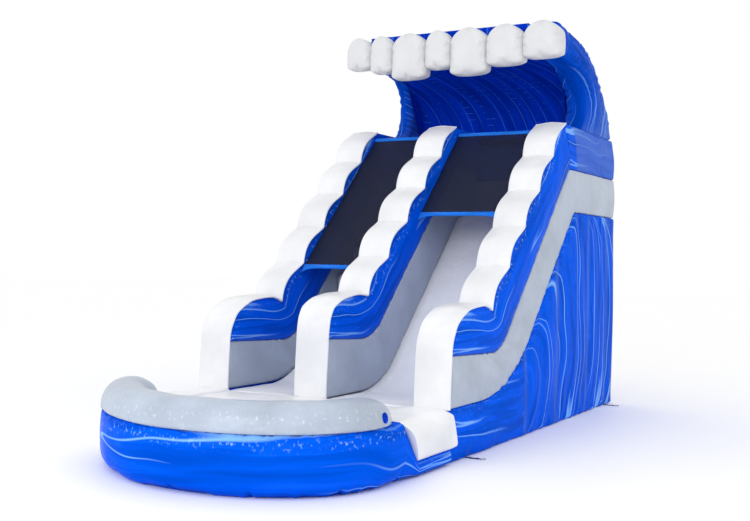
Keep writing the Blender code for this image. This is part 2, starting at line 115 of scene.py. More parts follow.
WAVE_SKIN = [(4.9, 3.46), (4.84, 3.66), (4.6, 3.93), (4.33, 4.2), (3.93, 4.43), (3.4, 4.55), (2.8, 4.6)]
CHEEK_FRONT = [(3.8, 3.46), (3.94, 3.6), (4.0, 3.78), (3.9, 3.97), (3.6, 4.14), (3.2, 4.21), (2.8, 4.23)]
LEFT_CHEEK_FRONT = [
    (3.8, 3.46), (3.94, 3.6), (4.0, 3.78), (3.99, 3.97), (3.93, 4.13), (3.7, 4.26), (2.8, 4.3),
]
LEFT_CHEEK_OUTSIDE = 1.3
HOLLOW_FRONT = [(4.24, 3.46), (4.32, 3.75), (4.17, 4.01), (3.78, 4.21), (3.3, 4.29), (2.8, 4.32)]
PUFFS = 7
PUFF_SWELL = 0.02
SWELL_FRAMES = 20
LEFT_NET = ((1.38, 1.75), (2.98, 3.35))
RIGHT_NET = ((1.94, 2.36), (2.94, 3.36))
NET_BAR = 0.03
RUNGS = 5
STRAP_PLACES = {"front": 0.42, "rear": 4.80}
BADGE_ALONG = -1.19
BADGE_UP = 0.075
BADGE_RADIUS = 0.045

# Camera, fitted to the photograph
CAMERA_PLACE = (5.3791, -8.4919, 1.8336)
CAMERA_YAW = 0.5098
CAMERA_PITCH = -0.0004
CAMERA_ROLL = 0.0185
CAMERA_LENS = 49.806


# Sizes and colours that a user would change

def linear(code):
    """An sRGB hex colour as linear red, green, blue and alpha."""
    parts = [int(code[number : number + 2], 16) / 255 for number in (1, 3, 5)]
    return (*[part / 12.92 if part <= 0.04045 else ((part + 0.055) / 1.055) ** 2.4 for part in parts], 1)


class SlideVinyl(bpy.types.PropertyGroup):
    """Colours of the coated fabrics."""

    blue: FloatVectorProperty(
        name="Blue", description="Marbled side panels", subtype="COLOR", default=linear("#0054DC")[:3]
    )
    deep: FloatVectorProperty(
        name="Deep blue", description="Hollow of the wave", subtype="COLOR", default=linear("#0034C0")[:3]
    )
    bar: FloatVectorProperty(
        name="Bar blue", description="Sleeves at the ends of the nets", subtype="COLOR",
        default=linear("#2474E0")[:3],
    )
    white: FloatVectorProperty(
        name="White", description="Caps, beds and puffs", subtype="COLOR", default=linear("#F1F2F5")[:3]
    )
    grey: FloatVectorProperty(
        name="Grey", description="Bands and pool rim", subtype="COLOR", default=linear("#B0BBCB")[:3]
    )


class SlideShape(bpy.types.PropertyGroup):
    """How full and how creased the chambers are."""

    bulge: FloatProperty(
        name="Bulge", description="How far a side panel stands out between its seams",
        default=0.018, unit="LENGTH",
    )
    crown: FloatProperty(
        name="Crown", description="How far a cap stands up between its edges", default=0.02, unit="LENGTH"
    )
    pucker: FloatProperty(
        name="Pucker", description="Depth of the gathers beside a seam", default=0.004, unit="LENGTH"
    )
    tubes: IntProperty(
        name="Tubes", description="Slanting tubes across the hollow of the wave", default=7, min=1
    )


class SlideStage(bpy.types.PropertyGroup):
    """Lights and backdrop."""

    sky: FloatProperty(name="Sky", description="Strength of the light from all round", default=1.0)
    key: FloatProperty(
        name="Key light", description="Power of the large front light", default=425, unit="POWER"
    )


def settings():
    return bpy.context.scene.water_slide


class SlideSettings(bpy.types.PropertyGroup):
    """All settings of the slide."""

    vinyl: PointerProperty(type=SlideVinyl, name="Vinyl")
    shape: PointerProperty(type=SlideShape, name="Shape")
    stage: PointerProperty(type=SlideStage, name="Stage")


# Lines

def rounded(corners, steps=16):
    """A polyline through corners (a, b, radius): an arc of that radius round each corner, by
    turning the spoke from the arc's centre evenly from one leg to the other."""
    points = []
    for index, (a, b, radius) in enumerate(corners):
        here = np.array((a, b), float)
        if radius <= 0 or index in (0, len(corners) - 1):
            points.append(here[None])
            continue
        before = np.array(corners[index - 1][:2]) - here
        after = np.array(corners[index + 1][:2]) - here
        before = before / np.linalg.norm(before)
        after = after / np.linalg.norm(after)
        half = math.acos(float(before @ after)) / 2
        centre = here + (before + after) / np.linalg.norm(before + after) * radius / math.sin(half)
        start = here + before * radius / math.tan(half) - centre
        end = here + after * radius / math.tan(half) - centre
        turn = math.pi - 2 * half
        part = np.linspace(0, 1, steps + 1)[:, None]
        spoke = (start * np.sin((1 - part) * turn) + end * np.sin(part * turn)) / math.sin(turn)
        points.append(centre + spoke)
    return np.concatenate(points)


def smooth(points, steps=12):
    """A Catmull-Rom curve through the points."""
    ends = np.array([points[0], *points, points[-1]], float)
    t = np.tile(np.linspace(0, 1, steps, endpoint=False), len(points) - 1)[:, None]
    first = np.repeat(np.arange(len(points) - 1), steps)
    a, b, c, d = (ends[first + number] for number in range(4))
    curve = (b * 2 + (c - a) * t + (a * 2 - b * 5 + c * 4 - d) * t**2 + (b * 3 - a - c * 3 + d) * t**3) / 2
    return np.concatenate([curve, ends[-1:]])


def length_along(line):
    """Length from the first point of a line to each of its points."""
    return np.concatenate(([0], np.cumsum(np.linalg.norm(np.diff(line, axis=0), axis=1))))


def length_round(outline):
    """Length from the first point of a closed outline to each of its points, and once round it."""
    steps = np.linalg.norm(np.roll(outline, -1, axis=0) - outline, axis=1)
    return np.concatenate([[0], np.cumsum(steps)])


def flat_line(rows, height):
    """A level line with its points at these rows."""
    return np.stack([rows, np.full(len(rows), float(height))], axis=1)


def spread(points, count, trims=(0.0, 0.0)):
    """The same line as count points, evenly spaced by length, less the trims at its two ends."""
    points = np.asarray(points, float)
    length = length_along(points)
    at = np.linspace(trims[0], length[-1] - trims[1], count)
    return np.stack([np.interp(at, length, side) for side in points.T], axis=1)


def joined(spans, counts, trims=(0.0, 0.0)):
    """Several spans of one line, each spread evenly over its own number of rows."""
    rows = []
    for number, (span, count) in enumerate(zip(spans, counts)):
        cut = (trims[0] if number == 0 else 0, trims[1] if number == len(counts) - 1 else 0)
        rows.append(spread(span, count, cut)[0 if number == 0 else 1 :])
    return np.concatenate(rows)


def slide_line(front, low, lean, high, rear, bend, sag=0.0):
    """Level or sagging at the front, up at 45 degrees, and level again, in three spans."""
    steps = 16
    bottom = low - sag
    corners = [
        (front, low, 0), (bottom + lean, bottom, bend), (high + lean, high, KNEE_BEND), (rear, high, 0),
    ]
    line = rounded(corners, steps)
    return [line[: steps + 2], line[steps + 1 : steps + 3], line[steps + 2 :]]


def floor_line(front, rear):
    return slide_line(front, LANDING, LEAN_FLOOR, PLATFORM, rear, FLOOR_BEND)


def bed_line(front, rear):
    return slide_line(front, LANDING, LEAN_BED, PLATFORM, rear, BED_BEND)


def seam_line(front, rear, low=SEAM_FRONT, lean=LEAN_SEAM):
    return slide_line(front, low, lean, GREY_TOP, rear, SEAM_BEND, SEAM_SAG)


def shoulder_line(shoulder, dip, level):
    """From this level up the leaning front of a wall and over its shoulder into the dip."""
    line = np.concatenate([[(0, LANDING)], smooth([FRONT_FOOT, *shoulder, dip])])
    first = int(np.argmax(line[:, 1] > level))
    before, after = line[first - 1], line[first]
    start = before + (after - before) * (level - before[1]) / (after[1] - before[1])
    return np.concatenate([start[None], line[first:]])


def scallop_line(dip, end):
    """Bumps standing square to the slope: rise sin(pi t^skew)^1.2 over each length t from 0 to 1,
    which climbs quickly and falls slowly into a soft valley."""
    first = np.array(dip)
    run = np.array(end) - first
    out = np.array((-run[1], run[0])) / np.linalg.norm(run)
    part = np.linspace(0, 1, SCALLOPS * SCALLOP_ROWS + 1)[:, None]
    bump = np.sin(math.pi * np.mod(part * SCALLOPS, 1) ** SCALLOP_SKEW)
    return first + run * part + out * SCALLOP_RISE * np.abs(bump) ** 1.2


def inset(line, distance):
    """The line moved towards its right-hand side, with mitred corners."""
    step = np.diff(line, axis=0)
    step /= np.linalg.norm(step, axis=1)[:, None]
    before = np.concatenate([step[:1], step])
    after = np.concatenate([step, step[-1:]])
    run = before + after
    size = np.linalg.norm(run, axis=1)
    mitre = np.minimum(2 / size, 1.6)
    right = np.stack([run[:, 1], -run[:, 0]], axis=1) / size[:, None]
    return line + right * distance * mitre[:, None]


# Random creases

def cloud(a, b, seed):
    """Smooth random heights from -1 to 1 over a plane: the corners of unit squares have seeded
    random heights, blended by 3t^2 - 2t^3 along both sides."""
    lattice = np.random.default_rng(seed).uniform(-1, 1, (97, 97))
    a, b = np.broadcast_arrays(np.asarray(a, float), np.asarray(b, float))
    low_a, low_b = np.floor(a).astype(int), np.floor(b).astype(int)
    t, u = a - low_a, b - low_b
    t, u = t * t * (3 - 2 * t), u * u * (3 - 2 * u)
    near = lattice[low_a % 97, low_b % 97] * (1 - t) + lattice[(low_a + 1) % 97, low_b % 97] * t
    far = lattice[low_a % 97, (low_b + 1) % 97] * (1 - t) + lattice[(low_a + 1) % 97, (low_b + 1) % 97] * t
    return near * (1 - u) + far * u


def gathers(along, off, depth, reach, pitch, seed):
    """Creases square to a seam: they fade by exp(-off / reach) and come at about each pitch."""
    fold = 1 - 2 * np.abs(cloud(along / pitch, off / (reach * 2), seed))
    return depth * fold * np.exp(-np.abs(off) / reach)


# Surfaces

def section_table(across, upright, corner):
    """One turn round a rounded rectangle: how far along its sides (sx, sy) and which way its
    corner circle points (cx, cy) for each column."""
    flat = np.linspace(-1, 1, across, endpoint=False)
    side = np.linspace(-1, 1, upright, endpoint=False)
    turn = np.linspace(0, math.pi / 2, corner, endpoint=False)
    sx, sy, cx, cy = [], [], [], []
    for quarter in range(4):
        angle = quarter * math.pi / 2
        right, up = round(math.cos(angle)), round(math.sin(angle))
        run = flat if quarter % 2 == 0 else side
        one = np.ones_like(run)
        sx.append(run * right + one * up)
        sy.append(run * up - one * right)
        cx.append(one * up)
        cy.append(-one * right)
        one = np.ones_like(turn)
        sx.append(one * (right + up))
        sy.append(one * (up - right))
        cx.append(np.cos(turn) * up + np.sin(turn) * right)
        cy.append(np.sin(turn) * up - np.cos(turn) * right)
    return [np.concatenate(part) for part in (sx, sy, cx, cy)]


def normals(points):
    """Unit normals of a grid that is closed round its columns, pointing away from each row's middle."""
    down = np.gradient(points, axis=0)
    round_it = np.roll(points, -1, axis=1) - np.roll(points, 1, axis=1)
    normal = np.cross(down, round_it)
    normal /= np.maximum(np.linalg.norm(normal, axis=2, keepdims=True), 1e-9)
    middle = points.mean(axis=1, keepdims=True)
    away = np.sum(normal * (points - middle), axis=(1, 2))
    return normal * np.where(away < 0, -1, 1)[:, None, None]


def chamber(bottom, top, low, high, edge, bulge=0.0, crown=0.0, *, counts, ends, axes=(1, 2, 0)):
    """An air-filled chamber: a rounded rectangle carried between a bottom and a top line.

    The lines give places on two axes and low to high is the third. Each row's section has corners
    of radius edge, its sides stand out by bulge times cos(pi/2 sy) and its top by crown times
    cos(pi/2 sx). Each end closes over a quarter turn of radius ends and a dome down to its middle.
    Gives the points, the lengths along each row and round each section, and the section's places."""
    sx, sy, cx, cy = section_table(*counts)
    bottom, top = np.asarray(bottom, float), np.asarray(top, float)
    low = np.broadcast_to(low, len(bottom))[:, None]
    high = np.broadcast_to(high, len(bottom))[:, None]
    bulge = np.broadcast_to(bulge, len(bottom))[:, None]
    crown = np.broadcast_to(crown, len(bottom))[:, None]
    half = (high - low) / 2 - bulge
    rib = top - bottom
    tall = np.linalg.norm(rib, axis=1)[:, None] / 2
    radius = np.minimum(edge, np.minimum(half, tall) * 0.95)
    side = sx * (half - radius) + cx * radius + bulge * np.cos(math.pi / 2 * sy) * cx
    rise = sy * (tall - radius) + cy * radius + crown * np.cos(math.pi / 2 * sx) * np.maximum(cy, 0)
    share = (rise + tall) / (2 * tall)
    plane = bottom[:, None] + rib[:, None] * share[..., None]
    points = np.zeros((*side.shape, 3))
    points[..., axes[0]] = plane[..., 0]
    points[..., axes[1]] = plane[..., 1]
    points[..., axes[2]] = side + (high + low) / 2
    middle = (bottom + top) / 2
    along = length_along(middle)
    turn = np.linspace(0, math.pi / 2, 6)[1:]
    inward = np.array([0.8, 0.55, 0.3])
    small = float(min(half.min(), tall.min()))
    share = min(ends / small, 0.9)
    scale = np.concatenate([1 - share * (1 - np.cos(turn)), inward * (1 - share)])
    reach = np.concatenate([np.sin(turn), np.ones(3)]) * ends
    rows = []
    for row, step in ((0, points[0] - points[1]), (-1, points[-1] - points[-2])):
        centre = points[row].mean(axis=0)
        out = step.mean(axis=0)
        out /= np.linalg.norm(out)
        ring = centre + (points[row] - centre) * scale[:, None, None] + out * reach[:, None, None]
        rows.append(ring)
    points = np.concatenate([rows[0][::-1], points, rows[1]])
    along = np.concatenate([along[0] - reach[::-1], along, along[-1] + reach])
    around = np.linalg.norm(np.roll(points, -1, axis=1) - points, axis=2)
    around = np.concatenate([np.zeros((len(points), 1)), np.cumsum(around, axis=1)], axis=1)
    pad = len(scale)
    stop = len(points) - pad
    keep = np.concatenate([np.full(pad, pad), np.arange(pad, stop), np.full(pad, stop - 1)])
    return points, along, around[keep], (sx, sy, cx, cy)


def bolster(outline, low_x, high_x, edge, rows):
    """A closed (Y, Z) outline carried across the lanes: each end closes by shrinking the outline
    towards its middle through a quarter turn, and then flat down to the middle."""
    outline = np.asarray(outline, float)
    middle = outline.mean(axis=0)
    small = np.linalg.norm(outline - middle, axis=1).min()
    turn = np.linspace(0, math.pi / 2, 6)
    share = min(edge / small, 0.9)
    scale = np.concatenate([(1 - share) * np.array([0.3, 0.6]), 1 - share * (1 - np.sin(turn))])
    x_in = np.concatenate([[0, 0], edge * (1 - np.cos(turn))])
    between = np.linspace(low_x + edge, high_x - edge, rows)[1:-1]
    x = np.concatenate([low_x + x_in, between, high_x - x_in[::-1]])
    scale = np.concatenate([scale, np.ones(rows - 2), scale[::-1]])
    plane = middle + (outline - middle) * scale[:, None, None]
    points = np.concatenate([np.broadcast_to(x[:, None, None], (*plane.shape[:2], 1)), plane], axis=2)
    around = length_round(outline)
    return points, x - low_x, np.broadcast_to(around, (len(x), len(around)))


def metres(along, around, turned=False):
    """A UV map in metres, with U along the rows or, if turned, round them."""
    u = np.broadcast_to(along[:, None], around.shape)
    return np.stack([around, u] if turned else [u, around], axis=-1)


def wrapped(values):
    """The first column again after the last, as the UV map of a closed row needs."""
    return np.concatenate([values, values[:, :1]], axis=1)


def add_weights(mesh, name, values):
    """A value for each point, which a material reads by name. The two end points take means."""
    values = np.concatenate([values.reshape(-1), [values[0].mean(), values[-1].mean()]])
    layer = mesh.attributes.new(name, "FLOAT", "POINT")
    layer.data.foreach_set("value", values.astype(np.float32))


def piece(name, points, uv, finish, replaced=(), seam=None, painted_sheen_and_zinc_bloom=None):
    """A mesh from a grid of rows that are closed rings, with a fan over each end. Seam says how
    near to a seam with gathers each point is, which places crumples and painted glints, and the
    sheen weight how much painted sheen its print takes, both from 0 to 1."""
    rows, columns = points.shape[:2]
    flat = points.reshape(-1, 3) + (0, FRONT, 0)
    ends = np.stack([flat[:columns].mean(axis=0), flat[-columns:].mean(axis=0)])
    places = np.concatenate([flat, ends])
    row, column = np.meshgrid(np.arange(rows - 1), np.arange(columns), indexing="ij")
    after = (column + 1) % columns
    here = row * columns
    below = (row + 1) * columns
    quads = np.stack([here + column, here + after, below + after, below + column], axis=-1).reshape(-1, 4)
    ring = np.arange(columns)
    last = (rows - 1) * columns
    first_fan = np.stack([np.full(columns, len(flat)), (ring + 1) % columns, ring], axis=1)
    last_fan = np.stack([np.full(columns, len(flat) + 1), last + ring, last + (ring + 1) % columns], axis=1)
    quad_uv = np.stack([uv[:-1, :-1], uv[:-1, 1:], uv[1:, 1:], uv[1:, :-1]], axis=2)
    pole = [np.broadcast_to(uv[end].mean(axis=0), (columns, 2)) for end in (0, -1)]
    first_uv = np.stack([pole[0], uv[0, 1:], uv[0, :-1]], axis=1)
    last_uv = np.stack([pole[1], uv[-1, :-1], uv[-1, 1:]], axis=1)
    a, b, c, d = (places[quads[:, number]] for number in range(4))
    faces = [quads, first_fan, last_fan]
    uvs = [quad_uv.reshape(-1, 4, 2), first_uv, last_uv]
    if np.sum(a * np.cross(b, c)) + np.sum(a * np.cross(c, d)) < 0:
        faces = [face[:, ::-1] for face in faces]
        uvs = [part[:, ::-1] for part in uvs]
    mesh = bpy.data.meshes.new(name)
    mesh.from_pydata(places.tolist(), [], sum((face.tolist() for face in faces), []))
    layer = mesh.uv_layers.new(name="UVMap")
    layer.data.foreach_set("uv", np.concatenate([part.reshape(-1) for part in uvs]).astype(np.float32))
    for label, values in (("seam", seam), ("painted_sheen_and_zinc_bloom", painted_sheen_and_zinc_bloom)):
        if values is not None:
            add_weights(mesh, label, np.broadcast_to(values, (rows, columns)))
    mesh.shade_smooth()
    mesh.set_sharp_from_angle(angle=math.radians(SHARP_ANGLE))
    mesh.materials.append(finish)
    made = bpy.data.objects.new(name, mesh)
    bpy.context.scene.collection.objects.link(made)
    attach(made, "root")
    if replaced:
        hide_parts(*replaced)
    return made


# Materials

def add(tree, kind, links=None, **values):
    """A node of this kind: links sets or joins its inputs, values sets its own settings."""
    made = tree.nodes.new(kind)
    for key, value in values.items():
        setattr(made, key, value)
    for key, value in (links or {}).items():
        if isinstance(value, bpy.types.NodeSocket):
            tree.links.new(value, made.inputs[key])
        else:
            made.inputs[key].default_value = value
    return made


def new_material(name, roughness, ior, metallic=0.0, coat=0.0):
    """An empty material and its shader, with the constant values on the shader's own sockets."""
    material = bpy.data.materials.new(name)
    material.use_nodes = True
    shader = material.node_tree.nodes["Principled BSDF"]
    shader.inputs["Roughness"].default_value = roughness
    shader.inputs["IOR"].default_value = ior
    shader.inputs["Metallic"].default_value = metallic
    shader.inputs["Coat Weight"].default_value = coat
    shader.inputs["Coat Roughness"].default_value = 0.12
    return material, material.node_tree, shader


def ramp(tree, factor, stops):
    """A colour ramp through (place, linear colour) stops."""
    made = add(tree, "ShaderNodeValToRGB", {"Fac": factor})
    line = made.color_ramp
    while len(line.elements) < len(stops):
        line.elements.new(0.5)
    for element, (place, colour) in zip(line.elements, stops):
        element.position = place
        element.color = colour
    return made.outputs["Color"]


def tone(colour, factor, pale=0.0):
    """A linear colour made darker or lighter by a factor, and mixed with some white."""
    return (*[min(part * factor, 1) * (1 - pale) + pale for part in colour[:3]], 1)


def noise(tree, vector, scale, detail, stretch=None):
    """A noise pattern, on coordinates stretched by a Mapping where it has a direction."""
    if stretch:
        mapped = {"Vector": vector, "Scale": (*stretch, 1.0)}
        vector = add(tree, "ShaderNodeMapping", mapped).outputs["Vector"]
    links = {"Vector": vector, "Scale": scale, "Detail": detail}
    return add(tree, "ShaderNodeTexNoise", links).outputs["Fac"]


def span(tree, value, low, high, to_low=0.0, to_high=1.0):
    """The value mapped from low..high to to_low..to_high, and held at both ends."""
    links = {"Value": value, "From Min": low, "From Max": high, "To Min": to_low, "To Max": to_high}
    return add(tree, "ShaderNodeMapRange", links).outputs["Result"]


def sums(tree, operation, *values):
    return add(tree, "ShaderNodeMath", dict(enumerate(values)), operation=operation).outputs["Value"]


def blended(tree, factor, base, over):
    made = add(tree, "ShaderNodeMix", {"Factor": factor, 6: base, 7: over}, data_type="RGBA")
    return made.outputs[2]


def weight(tree, name):
    return add(tree, "ShaderNodeAttribute", attribute_name=name).outputs["Fac"]


def crumples(tree, shader, uv, strength):
    """Shallow dents 60 to 150 mm across, fine crumples of 15 mm and, near a seam with gathers, deep
    ones of 25 mm, as bump. Gives where the seam's crumples have their sharp edges, which the
    materials paint as glints."""
    seam = weight(tree, "seam")
    sharp = noise(tree, uv, 1.0, 3.0, (38.0, 24.0))
    broad = noise(tree, uv, 8.0, 3.0)
    fine = sums(tree, "MULTIPLY_ADD", noise(tree, uv, 60.0, 2.0), 0.06, broad)
    height = sums(tree, "MULTIPLY_ADD", sums(tree, "MULTIPLY", seam, sharp), 0.9, fine)
    bump = add(tree, "ShaderNodeBump", {"Height": height, "Strength": strength, "Distance": 0.02})
    tree.links.new(bump.outputs["Normal"], shader.inputs["Normal"])
    # Painted glints: this mask says where the materials paint them
    return sums(tree, "MULTIPLY", seam, span(tree, sharp, 0.57, 0.7))


def marbled_vinyl(name, blue, veins=1.0):
    """Marbled PVC-coated fabric, calendered: streaks as if brushed along the cloth, with thin
    pale veins between them, painted white glints where a seam crumples it, and a painted
    periwinkle sheen where its sheen weight asks for it."""
    material, tree, shader = new_material(name, 0.2, 1.52)
    shader.inputs["Specular IOR Level"].default_value = 0.004
    uv = add(tree, "ShaderNodeTexCoord").outputs["UV"]
    # One slow wave every metre or so bends all streaks together
    shift = span(tree, noise(tree, uv, 1.0, 1.0), 0, 1, -0.2, 0.2)
    push = add(tree, "ShaderNodeCombineXYZ", {"Y": shift}).outputs["Vector"]
    bent = add(tree, "ShaderNodeVectorMath", {0: uv, 1: push}, operation="ADD").outputs["Vector"]
    # Streaks about 80 mm wide and 1.5 m long
    streaks = noise(tree, bent, 1.0, 3.5, (0.6, 9.0))
    stops = [(0.3, tone(blue, 0.74)), (0.5, tone(blue, 1)), (0.72, tone(blue, 1.3, 0.004))]
    body = ramp(tree, streaks, stops)
    # Veins are contour lines of a pattern drawn out ten times as long as wide, fading in and out
    ground = sums(tree, "MULTIPLY", noise(tree, bent, 1.0, 1.0, (0.16, 3.2)), 8.0)
    thin = span(tree, sums(tree, "PINGPONG", ground, 1.0), 0.02, 0.11, 1, 0)
    faint = span(tree, sums(tree, "PINGPONG", sums(tree, "MULTIPLY", streaks, 4.0), 1.0), 0.0, 0.12, 0.6, 0)
    gate = span(tree, noise(tree, uv, 1.0, 1.0, (0.5, 2.2)), 0.38, 0.5)
    softly = blended(tree, sums(tree, "MULTIPLY", faint, gate), body, tone(blue, 1.45, 0.002))
    strong = sums(tree, "MULTIPLY", thin, sums(tree, "MULTIPLY", gate, 0.8 * veins))
    printed = blended(tree, strong, softly, linear("#86BEFF"))
    # Painted sheen: where its sheen weight says, the print turns a pale periwinkle, as if it reflected a
    # bright lamp
    pale = sums(tree, "MULTIPLY", weight(tree, "painted_sheen_and_zinc_bloom"), span(tree, streaks, 0.3, 0.6, 0.5, 0.85))
    sheened = blended(tree, pale, printed, linear("#5474C4"))
    # Painted glints: pale blue-white marks on the sharp edges of the crumples beside a seam
    glint_mask = crumples(tree, shader, uv, 0.4)
    glinted = blended(tree, sums(tree, "MULTIPLY", glint_mask, 0.8), sheened, linear("#9CCBFF"))
    tree.links.new(glinted, shader.inputs["Base Color"])
    return material


def seamed_vinyl(name, blue):
    """Deep blue PVC-coated fabric of the wave's hollow: nearly even, with thin pale welds slanting
    down it every 150 mm and short faint dashes across them."""
    material, tree, shader = new_material(name, 0.4, 1.52)
    shader.inputs["Specular IOR Level"].default_value = 0.008
    uv = add(tree, "ShaderNodeTexCoord").outputs["UV"]
    place = add(tree, "ShaderNodeSeparateXYZ", {"Vector": uv})
    mottle = noise(tree, uv, 1.0, 3.0, (1.2, 7.0))
    body = ramp(tree, mottle, [(0.35, tone(blue, 0.72)), (0.65, tone(blue, 1.15))])
    weld = sums(tree, "PINGPONG", sums(tree, "MULTIPLY", place.outputs["Y"], 6.6), 0.5)
    welds = span(tree, weld, 0.01, 0.04, 1, 0)
    gate = span(tree, noise(tree, uv, 1.0, 2.0, (1.6, 5.0)), 0.38, 0.6, 0.1, 0.6)
    dash = sums(tree, "PINGPONG", sums(tree, "MULTIPLY", place.outputs["X"], 13.0), 0.5)
    dashes = span(tree, dash, 0.02, 0.07, 1, 0)
    some = span(tree, noise(tree, uv, 1.0, 2.0, (3.0, 9.0)), 0.54, 0.62, 0, 0.45)
    marks = sums(tree, "MAXIMUM", sums(tree, "MULTIPLY", welds, gate), sums(tree, "MULTIPLY", dashes, some))
    crumples(tree, shader, uv, 0.3)
    tree.links.new(blended(tree, marks, body, linear("#4C86DC")), shader.inputs["Base Color"])
    return material


def plain_vinyl(name, colour, shade=0.9, roughness=0.38, strength=0.25):
    """Plain PVC-coated fabric, calendered and satin: nearly even colour, a little greyer where it
    has been handled, with soft dents and painted bright glints in its gathers."""
    material, tree, shader = new_material(name, roughness, 1.52)
    shader.inputs["Specular IOR Level"].default_value = 0.25
    uv = add(tree, "ShaderNodeTexCoord").outputs["UV"]
    tones = ramp(tree, noise(tree, uv, 2.4, 4.0), [(0.35, tone(colour, shade)), (0.62, tone(colour, 1))])
    rubbed = span(tree, noise(tree, uv, 1.0, 3.0, (14.0, 1.6)), 0.5, 0.75, 0, 0.3)
    streaked = blended(tree, rubbed, tones, tone(colour, shade))
    # Painted glints: near-white marks on the sharp edges of the crumples beside a seam
    glint_mask = crumples(tree, shader, uv, strength)
    glinted = blended(tree, sums(tree, "MULTIPLY", glint_mask, 0.7), streaked, linear("#F4F6FA"))
    tree.links.new(glinted, shader.inputs["Base Color"])
    return material


def knitted_net(name):
    """Knitted polyester shade net, black: round holes of 3 mm on a 6 mm pitch, drawn as 12 mm so
    that the weave shows as a fine grain."""
    material, tree, shader = new_material(name, 0.75, 1.55)
    shader.inputs["Alpha"].default_value = 0.72
    shader.inputs["Specular IOR Level"].default_value = 0.2
    uv = add(tree, "ShaderNodeTexCoord").outputs["UV"]
    cells = add(tree, "ShaderNodeTexVoronoi", {"Vector": uv, "Scale": 83.0, "Randomness": 0.15})
    holes = cells.outputs["Distance"]
    yarn = ramp(tree, holes, [(0.15, linear("#10142A")), (0.55, linear("#20263E"))])
    tree.links.new(yarn, shader.inputs["Base Color"])
    bump = add(tree, "ShaderNodeBump", {"Height": holes, "Strength": 0.5, "Distance": 0.002})
    tree.links.new(bump.outputs["Normal"], shader.inputs["Normal"])
    return material


def woven_webbing(name):
    """Polyester webbing, woven: ribs of 4 mm across the tape."""
    material, tree, shader = new_material(name, 0.7, 1.55)
    uv = add(tree, "ShaderNodeTexCoord").outputs["UV"]
    links = {"Vector": uv, "Scale": 40.0, "Distortion": 0.4}
    ribs = add(tree, "ShaderNodeTexWave", links, bands_direction="X").outputs["Fac"]
    yarn = ramp(tree, ribs, [(0.2, linear("#0A1838")), (0.8, linear("#1C3C7C"))])
    tree.links.new(yarn, shader.inputs["Base Color"])
    bump = add(tree, "ShaderNodeBump", {"Height": ribs, "Strength": 0.6, "Distance": 0.001})
    tree.links.new(bump.outputs["Normal"], shader.inputs["Normal"])
    return material


def zinc_steel(name):
    """Zinc-plated steel wire, bent and welded: bright, with a slightly uneven dull bloom."""
    material, tree, shader = new_material(name, 0.32, 1.5, metallic=1.0)
    place = add(tree, "ShaderNodeTexCoord").outputs["Object"]
    painted_sheen_and_zinc_bloom = noise(tree, place, 120.0, 3.0)
    plated = ramp(tree, painted_sheen_and_zinc_bloom, [(0.35, linear("#9C9EA2")), (0.65, linear("#CACCD0"))])
    tree.links.new(plated, shader.inputs["Base Color"])
    return material


def white(share):
    """The white of the settings, lighter or darker by a share, as painted light or shade on
    pieces of the same white vinyl.
    """
    return tone(settings().vinyl.white, share)


FINISHES = {
    "marbled blue vinyl": lambda name: marbled_vinyl(name, settings().vinyl.blue),
    "deep blue vinyl": lambda name: seamed_vinyl(name, settings().vinyl.deep),
    "wave blue vinyl": lambda name: marbled_vinyl(name, tone(settings().vinyl.blue, 0.72), 0.7),
    "bar blue vinyl": lambda name: marbled_vinyl(name, settings().vinyl.bar, 0.4),
    "white vinyl": lambda name: plain_vinyl(name, settings().vinyl.white),
    "white pad vinyl": lambda name: plain_vinyl(name, settings().vinyl.white, 0.93, 0.42, 0.5),
    # Painted light and shade: the lanes, the crest puffs and the caps are one white vinyl, given lighter or
    # darker copies
    "white lane vinyl with painted light": lambda name: plain_vinyl(name, white(1.07), 0.97, 0.42, 0.7),
    "white crest vinyl with painted shade": lambda name: plain_vinyl(name, white(0.78), 0.93, 0.42, 0.4),
    "white cap vinyl with painted shade": lambda name: plain_vinyl(name, white(0.91)),
    "grey vinyl": lambda name: plain_vinyl(name, settings().vinyl.grey, 0.85, 0.34, 0.4),
    "black shade net": knitted_net,
    "navy webbing": woven_webbing,
    "zinc-plated steel": zinc_steel,
}


def finish(name):
    return bpy.data.materials.get(name) or FINISHES[name](name)


def make(name, grid, look, replaced=(), turned=False, uv=None, seam=None, painted_sheen_and_zinc_bloom=None):
    """A piece from a surface's points and lengths, in a named look, with its slot."""
    points, along, around = grid[:3]
    if uv is None:
        uv = metres(along, around, turned)
    return piece(name, points, uv, finish(look), replaced, seam, painted_sheen_and_zinc_bloom)


# Pool

def pool_path(count):
    """Middle of the ring, from the right arm round the front to the left one:
    x = half |cos t|^(2/n), y = centre - reach |sin t|^(2/n), with its own n on each side."""
    half = POOL_OUTER - RING / 2
    reach = POOL_CENTRE - POOL_FRONT - RING / 2
    t = np.linspace(0, math.pi, 400)
    side = np.cos(t)
    power = 2 / np.where(side > 0, 2.2, 1.65)
    across = half * np.sign(side) * np.abs(side) ** power
    line = np.stack([across, POOL_CENTRE - reach * np.sin(t) ** power], axis=1)
    line = np.concatenate([[(half, -GAP)], line, [(-half, -GAP)]])
    return spread(line, count)


def ring_sweep(path, section, size, level, height=1.0):
    """A closed (outward, up) section carried along a path seen from above, scaled row by row."""
    step = np.gradient(path, axis=0)
    step /= np.linalg.norm(step, axis=1)[:, None]
    out = np.stack([-step[:, 1], step[:, 0]], axis=1)
    a = section[:, 0] * size[:, None]
    b = section[:, 1] * (size * height)[:, None]
    points = np.zeros((len(path), len(section), 3))
    points[..., :2] = path[:, None] + out[:, None] * a[..., None]
    points[..., 2] = level + b
    around = length_round(section)
    return points, length_along(path), np.broadcast_to(around, (len(path), len(around)))


